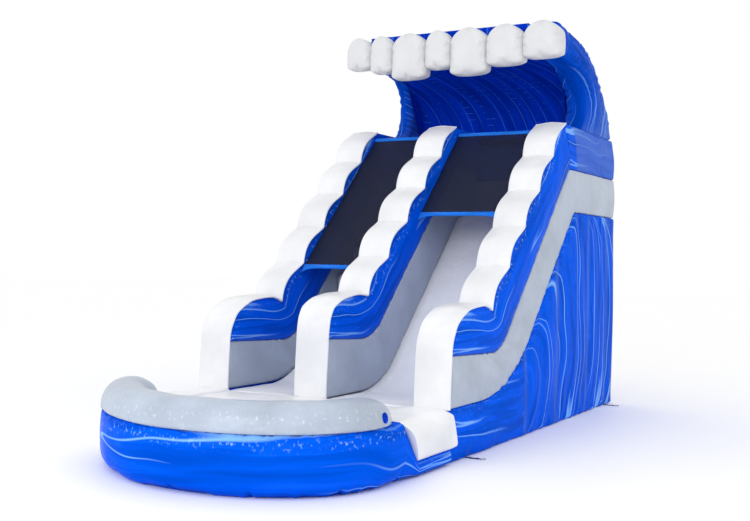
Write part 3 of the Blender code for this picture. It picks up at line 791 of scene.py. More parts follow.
class SLIDE_OT_pool(bpy.types.Operator):
    """Builds the pool's blue wall, its grey rim and the pool floor."""

    bl_idname = "slide.pool"
    bl_label = "Pool"

    def execute(self, context):
        half = RING / 2
        path = pool_path(400)
        y = path[:, 1]
        # The wall is cut down under the flaps over its arms
        drop = np.interp(y, [FLAP_TOP[0], FLAP_FOOT[0]], [1.0, FLAP_FOOT[1] / RIM_SEAM])
        corners = [
            (-half, 0.2, 0), (-half, 0, 0.01), (half - 0.015, 0, 0.13),
            (half - 0.01, RIM_SEAM - GAP, 0.03), (-half, RIM_SEAM - GAP, 0.03), (-half, 0.2, 0),
        ]
        section = spread(rounded(corners), 61)[:-1]
        belly = np.sin(math.pi * np.clip(section[:, 1] / RIM_SEAM, 0, 1))
        section[:, 0] += 0.02 * belly * (section[:, 0] > 0)
        points, along, around = ring_sweep(path, section, np.ones(len(path)), 0.0, drop)
        depth = settings().shape.pucker
        high = section[:, 1][None]
        outer = (section[:, 0] > 0)[None] * (high > 0.004)
        ripple = gathers(along[:, None], RIM_SEAM - high, depth * 2.2, 0.05, 0.045, 3)
        ripple = ripple + gathers(along[:, None], high, depth * 2.5, 0.07, 0.12, 4)
        ripple = ripple + 0.004 * cloud(along[:, None] * 3.1, high * 5, 5)
        # The wall is tucked in at its foot every 620 mm
        pitch = 0.62
        tuck = np.abs(np.mod(along[:, None] / pitch, 1) - 0.5) * pitch
        ripple = ripple - 0.03 * np.exp(-(tuck / 0.018) ** 2) * np.exp(-high / 0.06)
        points = points + normals(points) * (ripple * outer * (drop[:, None] > 0.99))[..., None]
        points[..., 2] = np.maximum(points[..., 2], 0)
        # Painted reflection: a dashed glare of glints in a band 75 mm under the rim seam, which also takes
        # crumples
        seam = 0.95 * np.exp(-(((RIM_SEAM - 0.075 - high) / 0.035) ** 2)) * outer * np.ones((len(path), 1))
        make("pool_ring_wall", (points, along, around), "marbled blue vinyl", ["pool_wall"], seam=seam)

        rows = path[y < RIM_END]
        past = RIM_END - rows[:, 1]
        size = np.maximum(0.28, np.sin(math.pi / 2 * np.sqrt(np.clip(past / RIM_TAPER, 0, 1))))
        height = RIM_TOP - RIM_SEAM - GAP
        corners = [
            (-half, 0.03, 0), (-half, 0, 0.02), (half, 0, 0.02),
            (half, height, 0.19), (-half, height, 0.19), (-half, 0.03, 0),
        ]
        section = spread(rounded(corners), 49)[:-1]
        points, along, around = ring_sweep(rows, section, size, RIM_SEAM + GAP)
        high = section[:, 1][None]
        ripple = gathers(along[:, None], high, depth * 1.8, 0.05, 0.05, 7)
        ripple = ripple + 0.004 * cloud(along[:, None] * 4.0, section[:, 0][None] * 9, 8)
        points = points + normals(points) * (ripple * (high > 0.004) * (size[:, None] > 0.5))[..., None]
        # Painted glints: a few specks all over the rim and more in a band 120 mm up, with crumples there
        seam = 0.15 + 0.45 * np.exp(-(((high - 0.12) / 0.03) ** 2)) * np.ones((len(rows), 1))
        make("pool_ring_rim", (points, along, around), "grey vinyl", ["pool_rim"], seam=seam)

        # A plain round patch near the rim's right end, where it covers the valve
        row = int(np.argmin(np.abs(rows[:, 1] - BADGE_ALONG) + (rows[:, 0] < 0)))
        column = int(np.argmin(np.abs(section[:, 1] - BADGE_UP) + (section[:, 0] < 0)))
        at = points[row, column].copy()
        facing = Vector(normals(points)[row, column])
        side = np.array(facing.cross((0, 0, 1)).normalized())
        up = np.cross(side, np.array(facing))
        reach = np.array([0.3, 0.9, 1.0, 0.92, 0.3]) * BADGE_RADIUS
        lift = np.array([0.007, 0.006, 0.003, -0.008, -0.008])
        t = np.linspace(0, math.tau, 48, endpoint=False)
        disc = np.cos(t)[:, None] * side + np.sin(t)[:, None] * up
        points = at + disc[None] * reach[:, None, None] + np.array(facing) * lift[:, None, None]
        around = np.linspace(0, 0.2, len(t) + 1)
        grid = (points, reach, np.broadcast_to(around, (len(reach), len(around))))
        make("valve_patch", grid, "deep blue vinyl")

        inner = path[y < -0.952]
        step = np.gradient(inner, axis=0)
        step /= np.linalg.norm(step, axis=1)[:, None]
        edge = inner - np.stack([-step[:, 1], step[:, 0]], axis=1) * (half + 0.002)
        back = spread([edge[-1], edge[0]], 60)[1:-1]
        edge = spread(np.concatenate([edge, back, edge[:1]]), 161)[:-1]
        middle = np.array((0.0, -1.45))
        # Rings of the sheet from its middle out, then its edge, and its underside back to the middle
        rings = 30
        share = np.concatenate([np.linspace(0.05, 0.985, rings), [1.0, 1.0], [0.97, 0.5, 0.1]])
        level = np.concatenate([np.full(rings, POOL_FLOOR), [POOL_FLOOR - 0.012, 0.01], [0, 0, 0]])
        points = np.zeros((len(share), len(edge), 3))
        points[..., :2] = middle + (edge - middle) * share[:, None, None]
        points[..., 2] = level[:, None]
        dent = 0.006 * cloud(points[..., 0] * 4, points[..., 1] * 4, 9)
        points[:rings, :, 2] += dent[:rings]
        around = length_round(edge)
        grid = (points, share, np.broadcast_to(around, (len(share), len(around))))
        make("pool_liner", grid, "white pad vinyl", ["pool_floor"])
        return {"FINISHED"}


# Landing

def flap(sign):
    """A white pad over one arm of the ring. Rows run back from its slanting front edge, and its
    section goes from the landing over the top and down the outside to the foot."""
    inside = POOL_OUTER - RING + 0.001
    outside = POOL_OUTER + 0.03
    foot = FLAP_FOOT[1] + 0.001
    top = FLAP_TOP[1]
    halfway = (foot + top) / 2
    corners = [
        (inside, halfway, 0), (inside, foot, 0.01), (outside - 0.035, foot, 0.03),
        (outside, top, 0.13), (inside, top, 0.02), (inside, halfway, 0),
    ]
    section = spread(rounded(corners), 81)[:-1]
    high = (section[:, 1] - foot) / (top - foot)
    outer = np.clip((section[:, 0] - 1.40) / 0.05, 0, 1) * np.clip(section[:, 1] - foot, 0, 0.02) / 0.02
    belly = np.sin(math.pi * np.clip(high, 0, 1))
    section[:, 0] += 0.012 * belly * outer
    front = FLAP_FOOT[0] + (FLAP_TOP[0] - FLAP_FOOT[0]) * high + 0.03 * belly * outer
    rear = -0.002 + outer * (0.17 * (1 - high) ** 0.6 + 0.004)
    rows = 70
    share = np.linspace(0, 1, rows)[:, None]
    y = front + (rear - front) * share
    x = section[:, 0] + 0 * share
    lap = np.clip((y + 0.10) / 0.12, 0, 1) * outer
    x = x * (1 - lap) + np.minimum(x, OUTSIDE + 0.014) * lap
    z = section[:, 1] + 0 * share
    points = np.stack([x, y, z], axis=-1)
    fold = 0.007 * cloud(y * 3.0 + z * 4.0, z * 2.5 + x * 2.0, 21)
    fold = fold + 0.004 * cloud(y * 9 - z * 11, z * 5, 22)
    fold = fold * np.clip(high * 4, 0, 1) * (share * (1 - share) * 8).clip(0, 1)
    points = points + normals(points) * fold[..., None]
    points[..., 0] *= sign
    middle = points.mean(axis=1, keepdims=True)
    closing = middle + (points - middle) * 0.4
    points = np.concatenate([closing[:1], points, closing[-1:]])
    along = np.concatenate([[0], np.linspace(0, 0.8, rows), [0.8]])
    around = length_round(section)
    return points, along, np.broadcast_to(around, (len(points), len(around)))


class SLIDE_OT_landing(bpy.types.Operator):
    """Builds the landing's base, its deck pad and the flaps over the ring's arms."""

    bl_idname = "slide.landing"
    bl_label = "Landing"

    def execute(self, context):
        low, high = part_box("landing_base")
        rows = np.linspace(low.y - FRONT + 0.01, high.y - FRONT - 0.01, 30)
        floor = flat_line(rows, low.z)
        roof = flat_line(rows, high.z - 0.001)
        grid = chamber(floor, roof, low.x, high.x, 0.01, counts=(8, 6, 3), ends=0.01)
        make("landing_block", grid, "marbled blue vinyl", ["landing_base"])
        low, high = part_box("landing_deck")
        rows = np.linspace(low.y - FRONT + 0.02, high.y - FRONT - 0.02, 60)
        floor = flat_line(rows, low.z)
        roof = flat_line(rows, high.z - 0.004)
        grid = chamber(floor, roof, low.x, high.x, 0.02, crown=0.006, counts=(40, 3, 3), ends=0.02)
        points = grid[0]
        top = points[..., 2] > low.z + 0.03
        points[..., 2] += top * 0.004 * cloud(points[..., 0] * 5, points[..., 1] * 5, 31)
        deck = make("landing_pad", grid, "white vinyl", ["landing_deck"])
        for side, sign in (("left", -1), ("right", 1)):
            made = make("arm_flap_" + side, flap(sign), "white vinyl", ["entry_flap_" + side])
        return {"FINISHED"}


# Tower

PLEAT_SEAMS = [1.87, 2.85, 3.95, 4.72, 5.02]


def side_print(y, z, tall, upright):
    """The print's own places on a side panel. Behind the first seam its streaks leave the slope
    leaning back by 0.35 (1 - exp(-d / 0.3)), drop straight and curve forward by 0.18 exp(-z / 0.25)
    near the ground. In front of it they run level."""
    if not upright:
        return np.stack([y, z + 0.05 * np.sin(y * 2.4)], axis=-1)
    below = np.maximum(tall - z, 0)
    return np.stack([z, y - 0.35 * (1 - np.exp(-below / 0.3)) + 0.18 * np.exp(-z / 0.25)], axis=-1)


def pleats(y, seams, depth):
    """Round tubes between seams: depth times the square root of 1 - t^2 across each."""
    seams = np.array(seams)
    at = np.clip(np.searchsorted(seams, y, side="right") - 1, 0, len(seams) - 2)
    t = np.clip((y - seams[at]) / (seams[at + 1] - seams[at]), 0, 1) * 2 - 1
    return depth * np.sqrt(np.clip(1 - t**2, 0, 1))


class SLIDE_OT_tower(bpy.types.Operator):
    """Builds the side panels under the lanes, the back, the beds and the platform floor."""

    bl_idname = "slide.tower"
    bl_label = "Tower"

    def execute(self, context):
        line = np.concatenate(floor_line(0, REAR))
        depth = settings().shape.pucker
        for side, sign in (("left", -1), ("right", 1)):
            for part, start, stop, count, turned in (
                ("front", 0, PLEAT_SEAMS[0], 84, False), ("rear", PLEAT_SEAMS[0], REAR, 124, True),
            ):
                rows = np.linspace(start + 0.02, stop - 0.02, count)
                roof = np.interp(rows, line[:, 0], line[:, 1]) - GAP
                if part == "front":
                    swell = 0.035 * np.sqrt(np.clip(1 - ((rows - 0.95) / 0.97) ** 2, 0, 1))
                else:
                    swell = pleats(rows, PLEAT_SEAMS, 0.045)
                grid = chamber(
                    flat_line(rows, 0), np.stack([rows, roof], axis=1),
                    SIDE_INSIDE + 0.002, OUTSIDE + swell * 0.6, 0.04, bulge=swell * 0.6 + 0.01,
                    counts=(4, 68, 4), ends=0.02,
                )
                points, along, around, (_, _, cx, _) = grid
                up = points[..., 2]
                outer = (cx > 0.5) * np.clip(up / 0.02, 0, 1)
                tall = np.interp(points[..., 1], line[:, 0], line[:, 1])
                if part == "front":
                    ripple = gathers(points[..., 1], up, depth * 3, 0.06, 0.16, 41)
                    ripple = ripple + gathers(points[..., 1], tall - up, depth, 0.04, 0.07, 42)
                    ripple = ripple + 0.005 * cloud(points[..., 1] * 2.2, up * 7, 43)
                else:
                    ripple = gathers(points[..., 1], up, depth * 3.5, 0.12, 0.09, 44)
                    ripple = ripple + gathers(points[..., 1], tall - up, depth * 2.4, 0.22, 0.08, 45)
                    ripple = ripple + 0.006 * cloud(points[..., 1] * 9, up * 1.1, 46)
                points = points + normals(points) * (ripple * outer)[..., None]
                points[..., 2] = np.maximum(points[..., 2], 0)
                uv = wrapped(side_print(points[..., 1] + OUTSIDE - points[..., 0], up, tall, turned))
                edge = np.abs(points[..., 1, None] - np.array(PLEAT_SEAMS)).min(axis=-1)
                # Painted sheen: pale periwinkle stripes beside the pleat seams, as the pleats would reflect
                # a bright lamp
                painted_sheen_and_zinc_bloom = np.exp(-((edge / 0.04) ** 2)) * 0.8 * turned
                # Painted glints with crumples, under the sloping top seam of the side
                seam = 0.5 * np.exp(-np.maximum(tall - up, 0) / 0.05) * (cx > 0.5)
                points[..., 0] *= sign
                grid = (points, along, around)
                name = f"tower_side_{side}_{part}"
                made = make(name, grid, "marbled blue vinyl", uv=uv, seam=seam, painted_sheen_and_zinc_bloom=painted_sheen_and_zinc_bloom)
                if part == "rear":
                    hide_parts("tower_side_" + side)

        low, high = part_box("tower_back")
        rows = np.linspace(low.x + 0.02, high.x - 0.02, 110)
        seams = np.linspace(low.x, high.x, 5)
        swell = pleats(rows, seams, 0.03)
        grid = chamber(
            flat_line(rows, 0), flat_line(rows, high.z), BACK_FRONT, REAR + swell * 0.3, 0.04,
            bulge=swell * 0.5 + 0.006, counts=(4, 52, 4), axes=(0, 2, 1), ends=0.02,
        )
        points, along, around = grid[:3]
        outer = points[..., 1] > REAR - 0.1
        ripple = gathers(points[..., 0], points[..., 2], depth * 3, 0.12, 0.09, 47)
        ripple = ripple + gathers(points[..., 0], high.z - points[..., 2], depth * 2, 0.18, 0.08, 48)
        points = points + normals(points) * (ripple * outer * (points[..., 2] > 0.02))[..., None]
        points[..., 2] = np.maximum(points[..., 2], 0)
        make("tower_back_panel", (points, along, around), "marbled blue vinyl", ["tower_back"], turned=True)

        spans = bed_line(0, BACK_FRONT - GAP)
        roof = joined([spans[0], spans[1]], (48, 80), (0.01, 0.01))
        floor = np.stack([roof[:, 0], np.maximum(roof[:, 1] - 0.48, 0)], axis=1)
        for name, node, low_x, high_x in (
            ("climbing_bed", "climb_bed", -SIDE_INSIDE, BED_SPLIT - 0.001),
            ("sliding_bed", "slide_bed", BED_SPLIT, SIDE_INSIDE),
        ):
            grid = chamber(floor, roof - (0, 0.014), low_x, high_x, 0.01, counts=(64, 3, 2), ends=0.01)
            points, along, around, (_, _, _, cy) = grid
            top = cy > 0.99
            x = points[..., 0]
            # A narrow tube runs beside the middle wall, and the sheet between is nearly flat
            lobe = 0.014 * np.abs(np.sin(math.pi * np.clip((x - MIDDLE_HIGH) / 0.11, 0, 1))) ** 0.6
            sheet = 0.014 * np.abs(np.sin(math.pi * (x - MIDDLE_HIGH - 0.11) / 0.84)) ** 0.35
            lobe = np.where(x > MIDDLE_HIGH + 0.11, sheet, lobe)
            if node == "climb_bed":
                lobe = 0.014 * np.abs(np.sin(math.pi * (x - low_x) / 0.81)) ** 0.35
            near = np.exp(-np.minimum(np.abs(x - MIDDLE_HIGH - 0.11), np.abs(SIDE_INSIDE - x)) / 0.12)
            creased = 0.0035 * cloud(x * 5 + along[:, None] * 3, along[:, None] * 13, 51) * (0.35 + near)
            creased = creased + 0.003 * cloud(x * 3, along[:, None] * 5, 52)
            points = points + normals(points) * ((lobe + creased) * top)[..., None]
            # Painted light: the beds take a lighter copy of the white vinyl
            make(name, (points, along, around), "white lane vinyl with painted light", [node])
        low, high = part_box("platform_floor")
        rows = np.linspace(low.y - FRONT + 0.01, high.y - FRONT - 0.01, 60)
        floor = flat_line(rows, low.z)
        roof = flat_line(rows, high.z - 0.01)
        grid = chamber(floor, roof, low.x, high.x, 0.01, counts=(24, 2, 2), ends=0.01)
        points = grid[0]
        top = points[..., 2] > high.z - 0.03
        points[..., 2] += top * (0.008 * np.abs(np.sin(math.pi * 4 * points[..., 0] / 2.1)) ** 0.6)
        make("platform_pad", grid, "white vinyl", ["platform_floor"])
        return {"FINISHED"}


class SLIDE_OT_rungs(bpy.types.Operator):
    """Builds the padded rungs of the climbing lane."""

    bl_idname = "slide.rungs"
    bl_label = "Rungs"

    def execute(self, context):
        for number in range(1, RUNGS + 1):
            node = f"climb_step_{number}"
            low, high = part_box(node)
            y, z = low.y - FRONT, low.z
            depth = high.y - low.y
            corners = [
                (y + depth / 2, z + depth / 2, 0), (y + 0.004, z + 0.004, 0.01), (y, z + depth, 0.07),
                (y + depth - 0.005, z + depth, 0.01), (y + depth / 2, z + depth / 2, 0),
            ]
            outline = spread(rounded(corners), 49)[:-1]
            points, along, around = bolster(outline, low.x, high.x, 0.03, 60)
            puff = 0.004 * cloud(points[..., 0] * 12, points[..., 2] * 9, 60 + number)
            points = points + normals(points) * (puff * (points[..., 2] > z + depth / 2))[..., None]
            rung = make(f"rung_{number}", (points, along, around), "white vinyl", [node])
        return {"FINISHED"}


# Lane walls

def wall_bands(side, low_x, high_x, floor_spans, seam, shoulder, dip, end, rear):
    """The grey band, the blue band and the white cap of one lane wall, between its lowest line,
    its seam (level at the front, a lean and a length) and its top."""
    depth = settings().shape.pucker
    bulge = settings().shape.bulge
    seam_level, lean = seam
    skin = 0.014
    top_front = shoulder_line(shoulder, dip, seam_level + 0.004)
    front = top_front[0, 0] + 0.03
    bottom = seam_line(front, rear, seam_level, lean)

    floor = joined(floor_spans, (60, 110, 60), (0.02, 0.03))
    line = joined(bottom, (60, 110, 60), (0.02, 0.03))
    grid = chamber(
        floor + (0, GAP), line - (0, GAP), low_x, high_x, 0.02, bulge, counts=(4, 22, 3), ends=0.02
    )
    points, along, around, (_, sy, cx, _) = grid
    outer = np.abs(cx) > 0.5
    off = (1 - np.abs(sy)) * 0.24
    bend = np.exp(-(((along[:, None] - 1.15) / 0.45) ** 2))
    ripple = gathers(along[:, None], off, depth * (0.7 + 2.2 * bend), 0.06, 0.06, 71)
    ripple = ripple + 0.003 * cloud(along[:, None] * 4, points[..., 2] * 5, 72)
    points = points + normals(points) * (ripple * outer)[..., None]
    # Painted glints with crumples, under the band's top seam and most at the bend
    gathers_and_glints = 0.6 * np.exp(-(1 - sy) * 0.24 / 0.05) * (0.3 + 0.7 * bend) * outer
    make(side + "_grey_band", (points, along, around), "grey vinyl", [side + "_wall_grey"], seam=gathers_and_glints)

    bumps = SCALLOPS * SCALLOP_ROWS + 1
    crest = scallop_line(dip, end)
    front_rows = 70
    over = inset(np.concatenate([spread(top_front, front_rows), crest[1:]]), skin + GAP)
    counts = (front_rows, bumps)
    if rear > MIDDLE_REAR:
        under = joined([bottom[0], np.concatenate([bottom[1], bottom[2][:9]])], counts)
    else:
        under = joined([bottom[0], bottom[1]], counts)
        tail = spread([over[-1], (rear, over[-1][1])], 31)[1:]
        over = np.concatenate([over, tail])
        under = np.concatenate([under, spread(bottom[2], 31)[1:]])
    over[:, 0] = np.maximum(over[:, 0], front)
    grid = chamber(
        under + (0, GAP), over, low_x, high_x, 0.02, bulge * 1.3, counts=(4, 28, 3), ends=0.01
    )
    points, along, around, (_, sy, cx, _) = grid
    outer = np.abs(cx) > 0.5
    tall = np.linalg.norm(over - under, axis=1)
    pad = (len(points) - len(tall)) // 2
    tall = np.pad(tall, pad, mode="edge")[:, None]
    low_off = (sy + 1) / 2 * tall
    high_off = (1 - sy) / 2 * tall
    ripple = gathers(along[:, None], low_off, depth * 1.2, 0.05, 0.07, 73)
    ripple = ripple + gathers(along[:, None], high_off, depth * 1.8, 0.06, 0.05, 74)
    ripple = ripple + 0.004 * cloud(along[:, None] * 2.6, low_off * 6, 75)
    first = pad + front_rows - 1
    bump = (np.arange(len(points)) - first) / SCALLOP_ROWS
    valley = np.exp(-(((bump - np.round(bump)) / 0.1) ** 2))
    valley = np.where((bump > -0.5) & (bump < SCALLOPS + 0.5), valley, 0)
    pinch = -0.014 * valley[:, None] * np.exp(-high_off / 0.07)
    points = points + normals(points) * ((ripple + pinch) * outer)[..., None]
    slope = np.clip((np.arange(len(points)) - first) / 4, 0, 1)[:, None]
    # Painted glints with crumples, under the scallops
    seam = np.exp(-(((high_off - 0.07) / 0.045) ** 2)) * (0.25 + 0.6 * slope) * outer
    # Painted sheen: pale periwinkle along the band's lower seam
    painted_sheen_and_zinc_bloom = 0.35 * np.exp(-low_off / 0.04) * outer
    grid = (points, along, around)
    make(side + "_blue_band", grid, "marbled blue vinyl", [side + "_wall_blue"], seam=seam, painted_sheen_and_zinc_bloom=painted_sheen_and_zinc_bloom)

    front_rows = 110
    top = spread(shoulder_line(shoulder, dip, LANDING + 0.002), front_rows)
    top = np.concatenate([top, crest[1:]])
    low_side = inset(top, skin)
    face = inset(top, 0.025)
    drop = np.clip((seam_level - top[:, 1]) / 0.05, 0, 1)[:, None] * (top[:, :1] < 0.1)
    low_side = low_side * (1 - drop) + face * drop
    grid = chamber(
        low_side, top, low_x - 0.002, high_x + 0.002, 0.011, crown=settings().shape.crown,
        counts=(22, 3, 3), ends=0.008,
    )
    points, along, around, (sx, _, _, cy) = grid
    face_on = cy > 0.99
    first = (len(points) - len(top)) // 2 + front_rows - 1
    bump = (np.arange(len(points)) - first) / SCALLOP_ROWS
    off = bump - np.round(bump)
    valley = np.where(bump > -0.5, np.exp(-((off / 0.05) ** 2)), 0)[:, None]
    beside = np.where(bump > -0.5, np.exp(-np.abs(off) / 0.16), 0.15)[:, None]
    ripple = 0.003 * cloud(along[:, None] * 7, points[..., 0] * 7, 76)
    ripple = ripple - 0.012 * valley * np.abs(np.cos(math.pi / 2 * sx))[None] ** 0.5
    fold = 1 - 2 * np.abs(cloud(points[..., 0] / 0.05, along[:, None] * 6, 77))
    ripple = ripple + depth * beside * fold
    points = points + normals(points) * (ripple * face_on)[..., None]
    # Painted shade: the caps take a darker copy of the white vinyl
    make(side + "_cap", (points, along, around), "white cap vinyl with painted shade", [side + "_wall_cap"])


class SLIDE_OT_lane_walls(bpy.types.Operator):
    """Builds the three lane walls, each with its grey band, blue band and scalloped white cap."""

    bl_idname = "slide.lane_walls"
    bl_label = "Lane walls"

    def execute(self, context):
        side_lines = (
            floor_line(0.03, REAR), (SEAM_FRONT, LEAN_SEAM), SIDE_SHOULDER, SIDE_DIP, SIDE_END, REAR,
        )
        middle_lines = (
            bed_line(0.03, MIDDLE_REAR), (MIDDLE_SEAM_FRONT, MIDDLE_LEAN_SEAM),
            MIDDLE_SHOULDER, MIDDLE_DIP, MIDDLE_END, MIDDLE_REAR,
        )
        wall_bands("left", -OUTSIDE, -SIDE_INSIDE, *side_lines)
        wall_bands("right", SIDE_INSIDE, OUTSIDE, *side_lines)
        wall_bands("middle", MIDDLE_LOW, MIDDLE_HIGH, *middle_lines)
        return {"FINISHED"}


class SLIDE_OT_platform_walls(bpy.types.Operator):
    """Builds the blue side walls and the rear wall round the platform."""

    bl_idname = "slide.platform_walls"
    bl_label = "Platform walls"

    def execute(self, context):
        depth = settings().shape.pucker
        rows, trims = 110, (0.012, 0.03)
        seam = seam_line(0.03, REAR)[2]
        under = np.concatenate([seam[8:9] + (0.003, 0), seam[9:]])
        under = spread(under, rows, trims) + (0, GAP)
        start = SIDE_END[0] + 0.003
        over = spread([(start, WALL_TOP), (REAR - 0.1, WALL_TOP)], rows, trims)
        for side, sign in (("left", -1), ("right", 1)):
            grid = chamber(
                under, over, SIDE_INSIDE, OUTSIDE, 0.03, settings().shape.bulge,
                counts=(4, 18, 3), ends=0.012,
            )
            points, along, around, (_, sy, cx, _) = grid
            outer = np.abs(cx) > 0.5
            ripple = gathers(along[:, None], (sy + 1) * 0.25, depth * 1.3, 0.07, 0.07, 81)
            ripple = ripple + 0.005 * cloud(along[:, None] * 3, points[..., 2] * 6, 82)
            points = points + normals(points) * (ripple * outer)[..., None]
            points[..., 0] *= sign
            # Painted sheen: the panel past its first 0.25 m turns a pale periwinkle, as if it reflected a
            # bright lamp
            painted_sheen_and_zinc_bloom = 0.9 * np.clip((along[:, None] - 0.25) / 0.03, 0, 1)
            grid = (points, along, around)
            node = "platform_side_" + side
            make("platform_wall_" + side, grid, "marbled blue vinyl", [node], painted_sheen_and_zinc_bloom=painted_sheen_and_zinc_bloom)
        for name, node, look, rear in (
            ("rear_grey_band", "rear_wall_grey", "grey vinyl", REAR),
            ("rear_blue_band", "rear_wall_blue", "marbled blue vinyl", REAR - 0.03),
        ):
            low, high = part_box(node)
            rows = np.linspace(low.x + 0.01, high.x - 0.01, 120)
            grid = chamber(
                flat_line(rows, low.z), flat_line(rows, high.z), BACK_FRONT, rear, 0.03, 0.012,
                counts=(4, 14, 3), axes=(0, 2, 1), ends=0.01,
            )
            points, along, around, (_, sy, cx, _) = grid
            ripple = gathers(along[:, None], (1 - np.abs(sy)) * 0.25, depth, 0.06, 0.07, 83)
            points = points + normals(points) * (ripple * (np.abs(cx) > 0.5))[..., None]
            make(name, (points, along, around), look, [node])
        return {"FINISHED"}


# Wave

class SLIDE_OT_wave(bpy.types.Operator):
    """Builds the curling canopy: its hollow back with slanting tubes and a round cheek each side."""

    bl_idname = "slide.wave"
    bl_label = "Wave"

    def execute(self, context):
        skin = smooth(WAVE_SKIN) + (0, GAP)
        hollow = smooth(HOLLOW_FRONT) + (0, GAP)
        steps = 90
        outer = spread(skin, steps)
        inner = spread(hollow, steps)[::-1]
        outline = np.concatenate([outer, inner])
        points, along, around = bolster(outline, -SIDE_INSIDE + 0.001, SIDE_INSIDE - 0.001, 0.02, 120)
        columns = np.arange(len(outline))
        facing = ((columns > steps + 1) & (columns < 2 * steps - 2)).astype(float)
        down = np.zeros(len(outline))
        down[steps:] = np.linspace(0, 1.8, steps)
        count = settings().shape.tubes
        x = points[..., 0]
        phase = (x + 1.06 - 0.55 * down[None]) / 2.12 * count
        tube = np.abs(np.sin(math.pi * phase)) ** 0.35
        ripple = 0.016 * (tube - 1) + 0.003 * cloud(x * 9, down[None] * 12, 91)
        points = points + normals(points) * (ripple * facing)[..., None]
        uv = np.stack([down[None] + 0 * x, x - 0.55 * down[None]], axis=-1)
        seam = 0.3 * np.exp(-(np.abs(np.mod(phase + 0.5, 1) - 0.5) / 0.06) ** 2) * facing
        grid = (points, along, around)
        make("wave_hollow", grid, "deep blue vinyl", ["wave_back"], uv=wrapped(uv), seam=seam)
        top = spread(skin, 110, (0.02, 0.03))
        tubes = (("left", -1, LEFT_CHEEK_FRONT, LEFT_CHEEK_OUTSIDE), ("right", 1, CHEEK_FRONT, OUTSIDE))
        for side, sign, cheek, outside in tubes:
            bottom = spread(smooth(cheek) + (0, GAP), 110, (0.02, 0.03))
            grid = chamber(bottom, top, SIDE_INSIDE, outside, 0.1, 0.012, counts=(6, 32, 7), ends=0.03)
            points, along, around, (_, sy, cx, _) = grid
            flank = np.abs(cx) > 0.3
            ripple = gathers(along[:, None], (1 - np.abs(sy)) * 0.3, 0.008, 0.2, 0.06, 92)
            ripple = ripple + 0.006 * cloud(along[:, None] * 4, sy[None] * 3, 93)
            points = points + normals(points) * (ripple * flank)[..., None]
            points[..., 0] *= sign
            # Painted light: the front foot of each tube is painted paler, like a lit face
            foot = 0.6 * np.exp(-along[:, None] / 0.25) * flank
            grid = (points, along, around)
            make("wave_tube_" + side, grid, "wave blue vinyl", ["wave_cheek_" + side], painted_sheen_and_zinc_bloom=foot)
        return {"FINISHED"}


def swell(item, cap, sewn_y):
    """Blows a closed pad up as cloth under air pressure, held where it is sewn on behind sewn_y.
    No point moves further than the cap, and the result is put into the mesh."""
    mesh = item.data
    places = np.zeros(len(mesh.vertices) * 3, np.float32)
    mesh.vertices.foreach_get("co", places)
    places = places.reshape(-1, 3)
    held = item.vertex_groups.new(name="sewn")
    held.add(np.flatnonzero(places[:, 1] > sewn_y - 0.01).tolist(), 1.0, "REPLACE")
    cloth = item.modifiers.new("air", "CLOTH")
    cloth.settings.quality = 6
    cloth.settings.mass = 0.3
    cloth.settings.tension_stiffness = 40
    cloth.settings.compression_stiffness = 8
    cloth.settings.bending_stiffness = 0.3
    cloth.settings.use_pressure = True
    cloth.settings.uniform_pressure_force = 4
    cloth.settings.effector_weights.gravity = 0
    cloth.settings.vertex_group_mass = "sewn"
    cloth.point_cache.frame_end = SWELL_FRAMES
    scene = bpy.context.scene
    for number in range(1, SWELL_FRAMES + 1):
        scene.frame_set(number)
    swollen = item.evaluated_get(bpy.context.evaluated_depsgraph_get()).data
    reached = np.zeros(len(places) * 3, np.float32)
    swollen.vertices.foreach_get("co", reached)
    move = reached.reshape(-1, 3) - places
    size = np.linalg.norm(move, axis=1, keepdims=True)
    places += move * np.minimum(1, cap / np.maximum(size, 1e-6))
    item.modifiers.remove(cloth)
    item.vertex_groups.remove(held)
    scene.frame_set(1)
    mesh.vertices.foreach_set("co", places.reshape(-1))
    mesh.update()


class SLIDE_OT_crest(bpy.types.Operator):
    """Builds the row of white puffs along the front of the wave."""

    bl_idname = "slide.crest"
    bl_label = "Crest"

    def execute(self, context):
        for number in range(1, PUFFS + 1):
            node = f"crest_puff_{number}"
            low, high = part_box(node)
            wide = high.x - low.x
            rows = np.linspace(low.x + 0.012, high.x - 0.012, 40)
            t = (rows - (low.x + high.x) / 2) / (wide / 2)
            floor = np.stack([rows, low.z + 0.012 + 0.03 * np.abs(t) ** 6], axis=1)
            roof = np.stack([rows, high.z - 0.005 - 0.13 * np.abs(t) ** 2.2], axis=1)
            front = low.y - FRONT + 0.012 + 0.03 * np.abs(t) ** 4
            grid = chamber(
                floor, roof, front, high.y - FRONT, 0.04, 0.012,
                counts=(16, 16, 8), axes=(0, 2, 1), ends=0.016,
            )
            points, along, around = grid[:3]
            points[..., 1] = np.minimum(points[..., 1], high.y - FRONT)
            # Painted shade: the puffs take a darker copy of the white vinyl
            puff = make(f"puff_{number}", (points, along, around), "white crest vinyl with painted shade", [node])
            swell(puff, PUFF_SWELL, high.y)
        return {"FINISHED"}


# Nets and anchors

def strip(y, z, count=28):
    """A sleeve pressed flat along the slope: an ellipse of NET_BAR by 12 mm, leaning back."""
    t = np.linspace(0, math.tau, count, endpoint=False)
    along, square = NET_BAR * np.cos(t), 0.012 * np.sin(t)
    return np.stack([y + (along - square) / math.sqrt(2), z + (along + square) / math.sqrt(2)], axis=1)


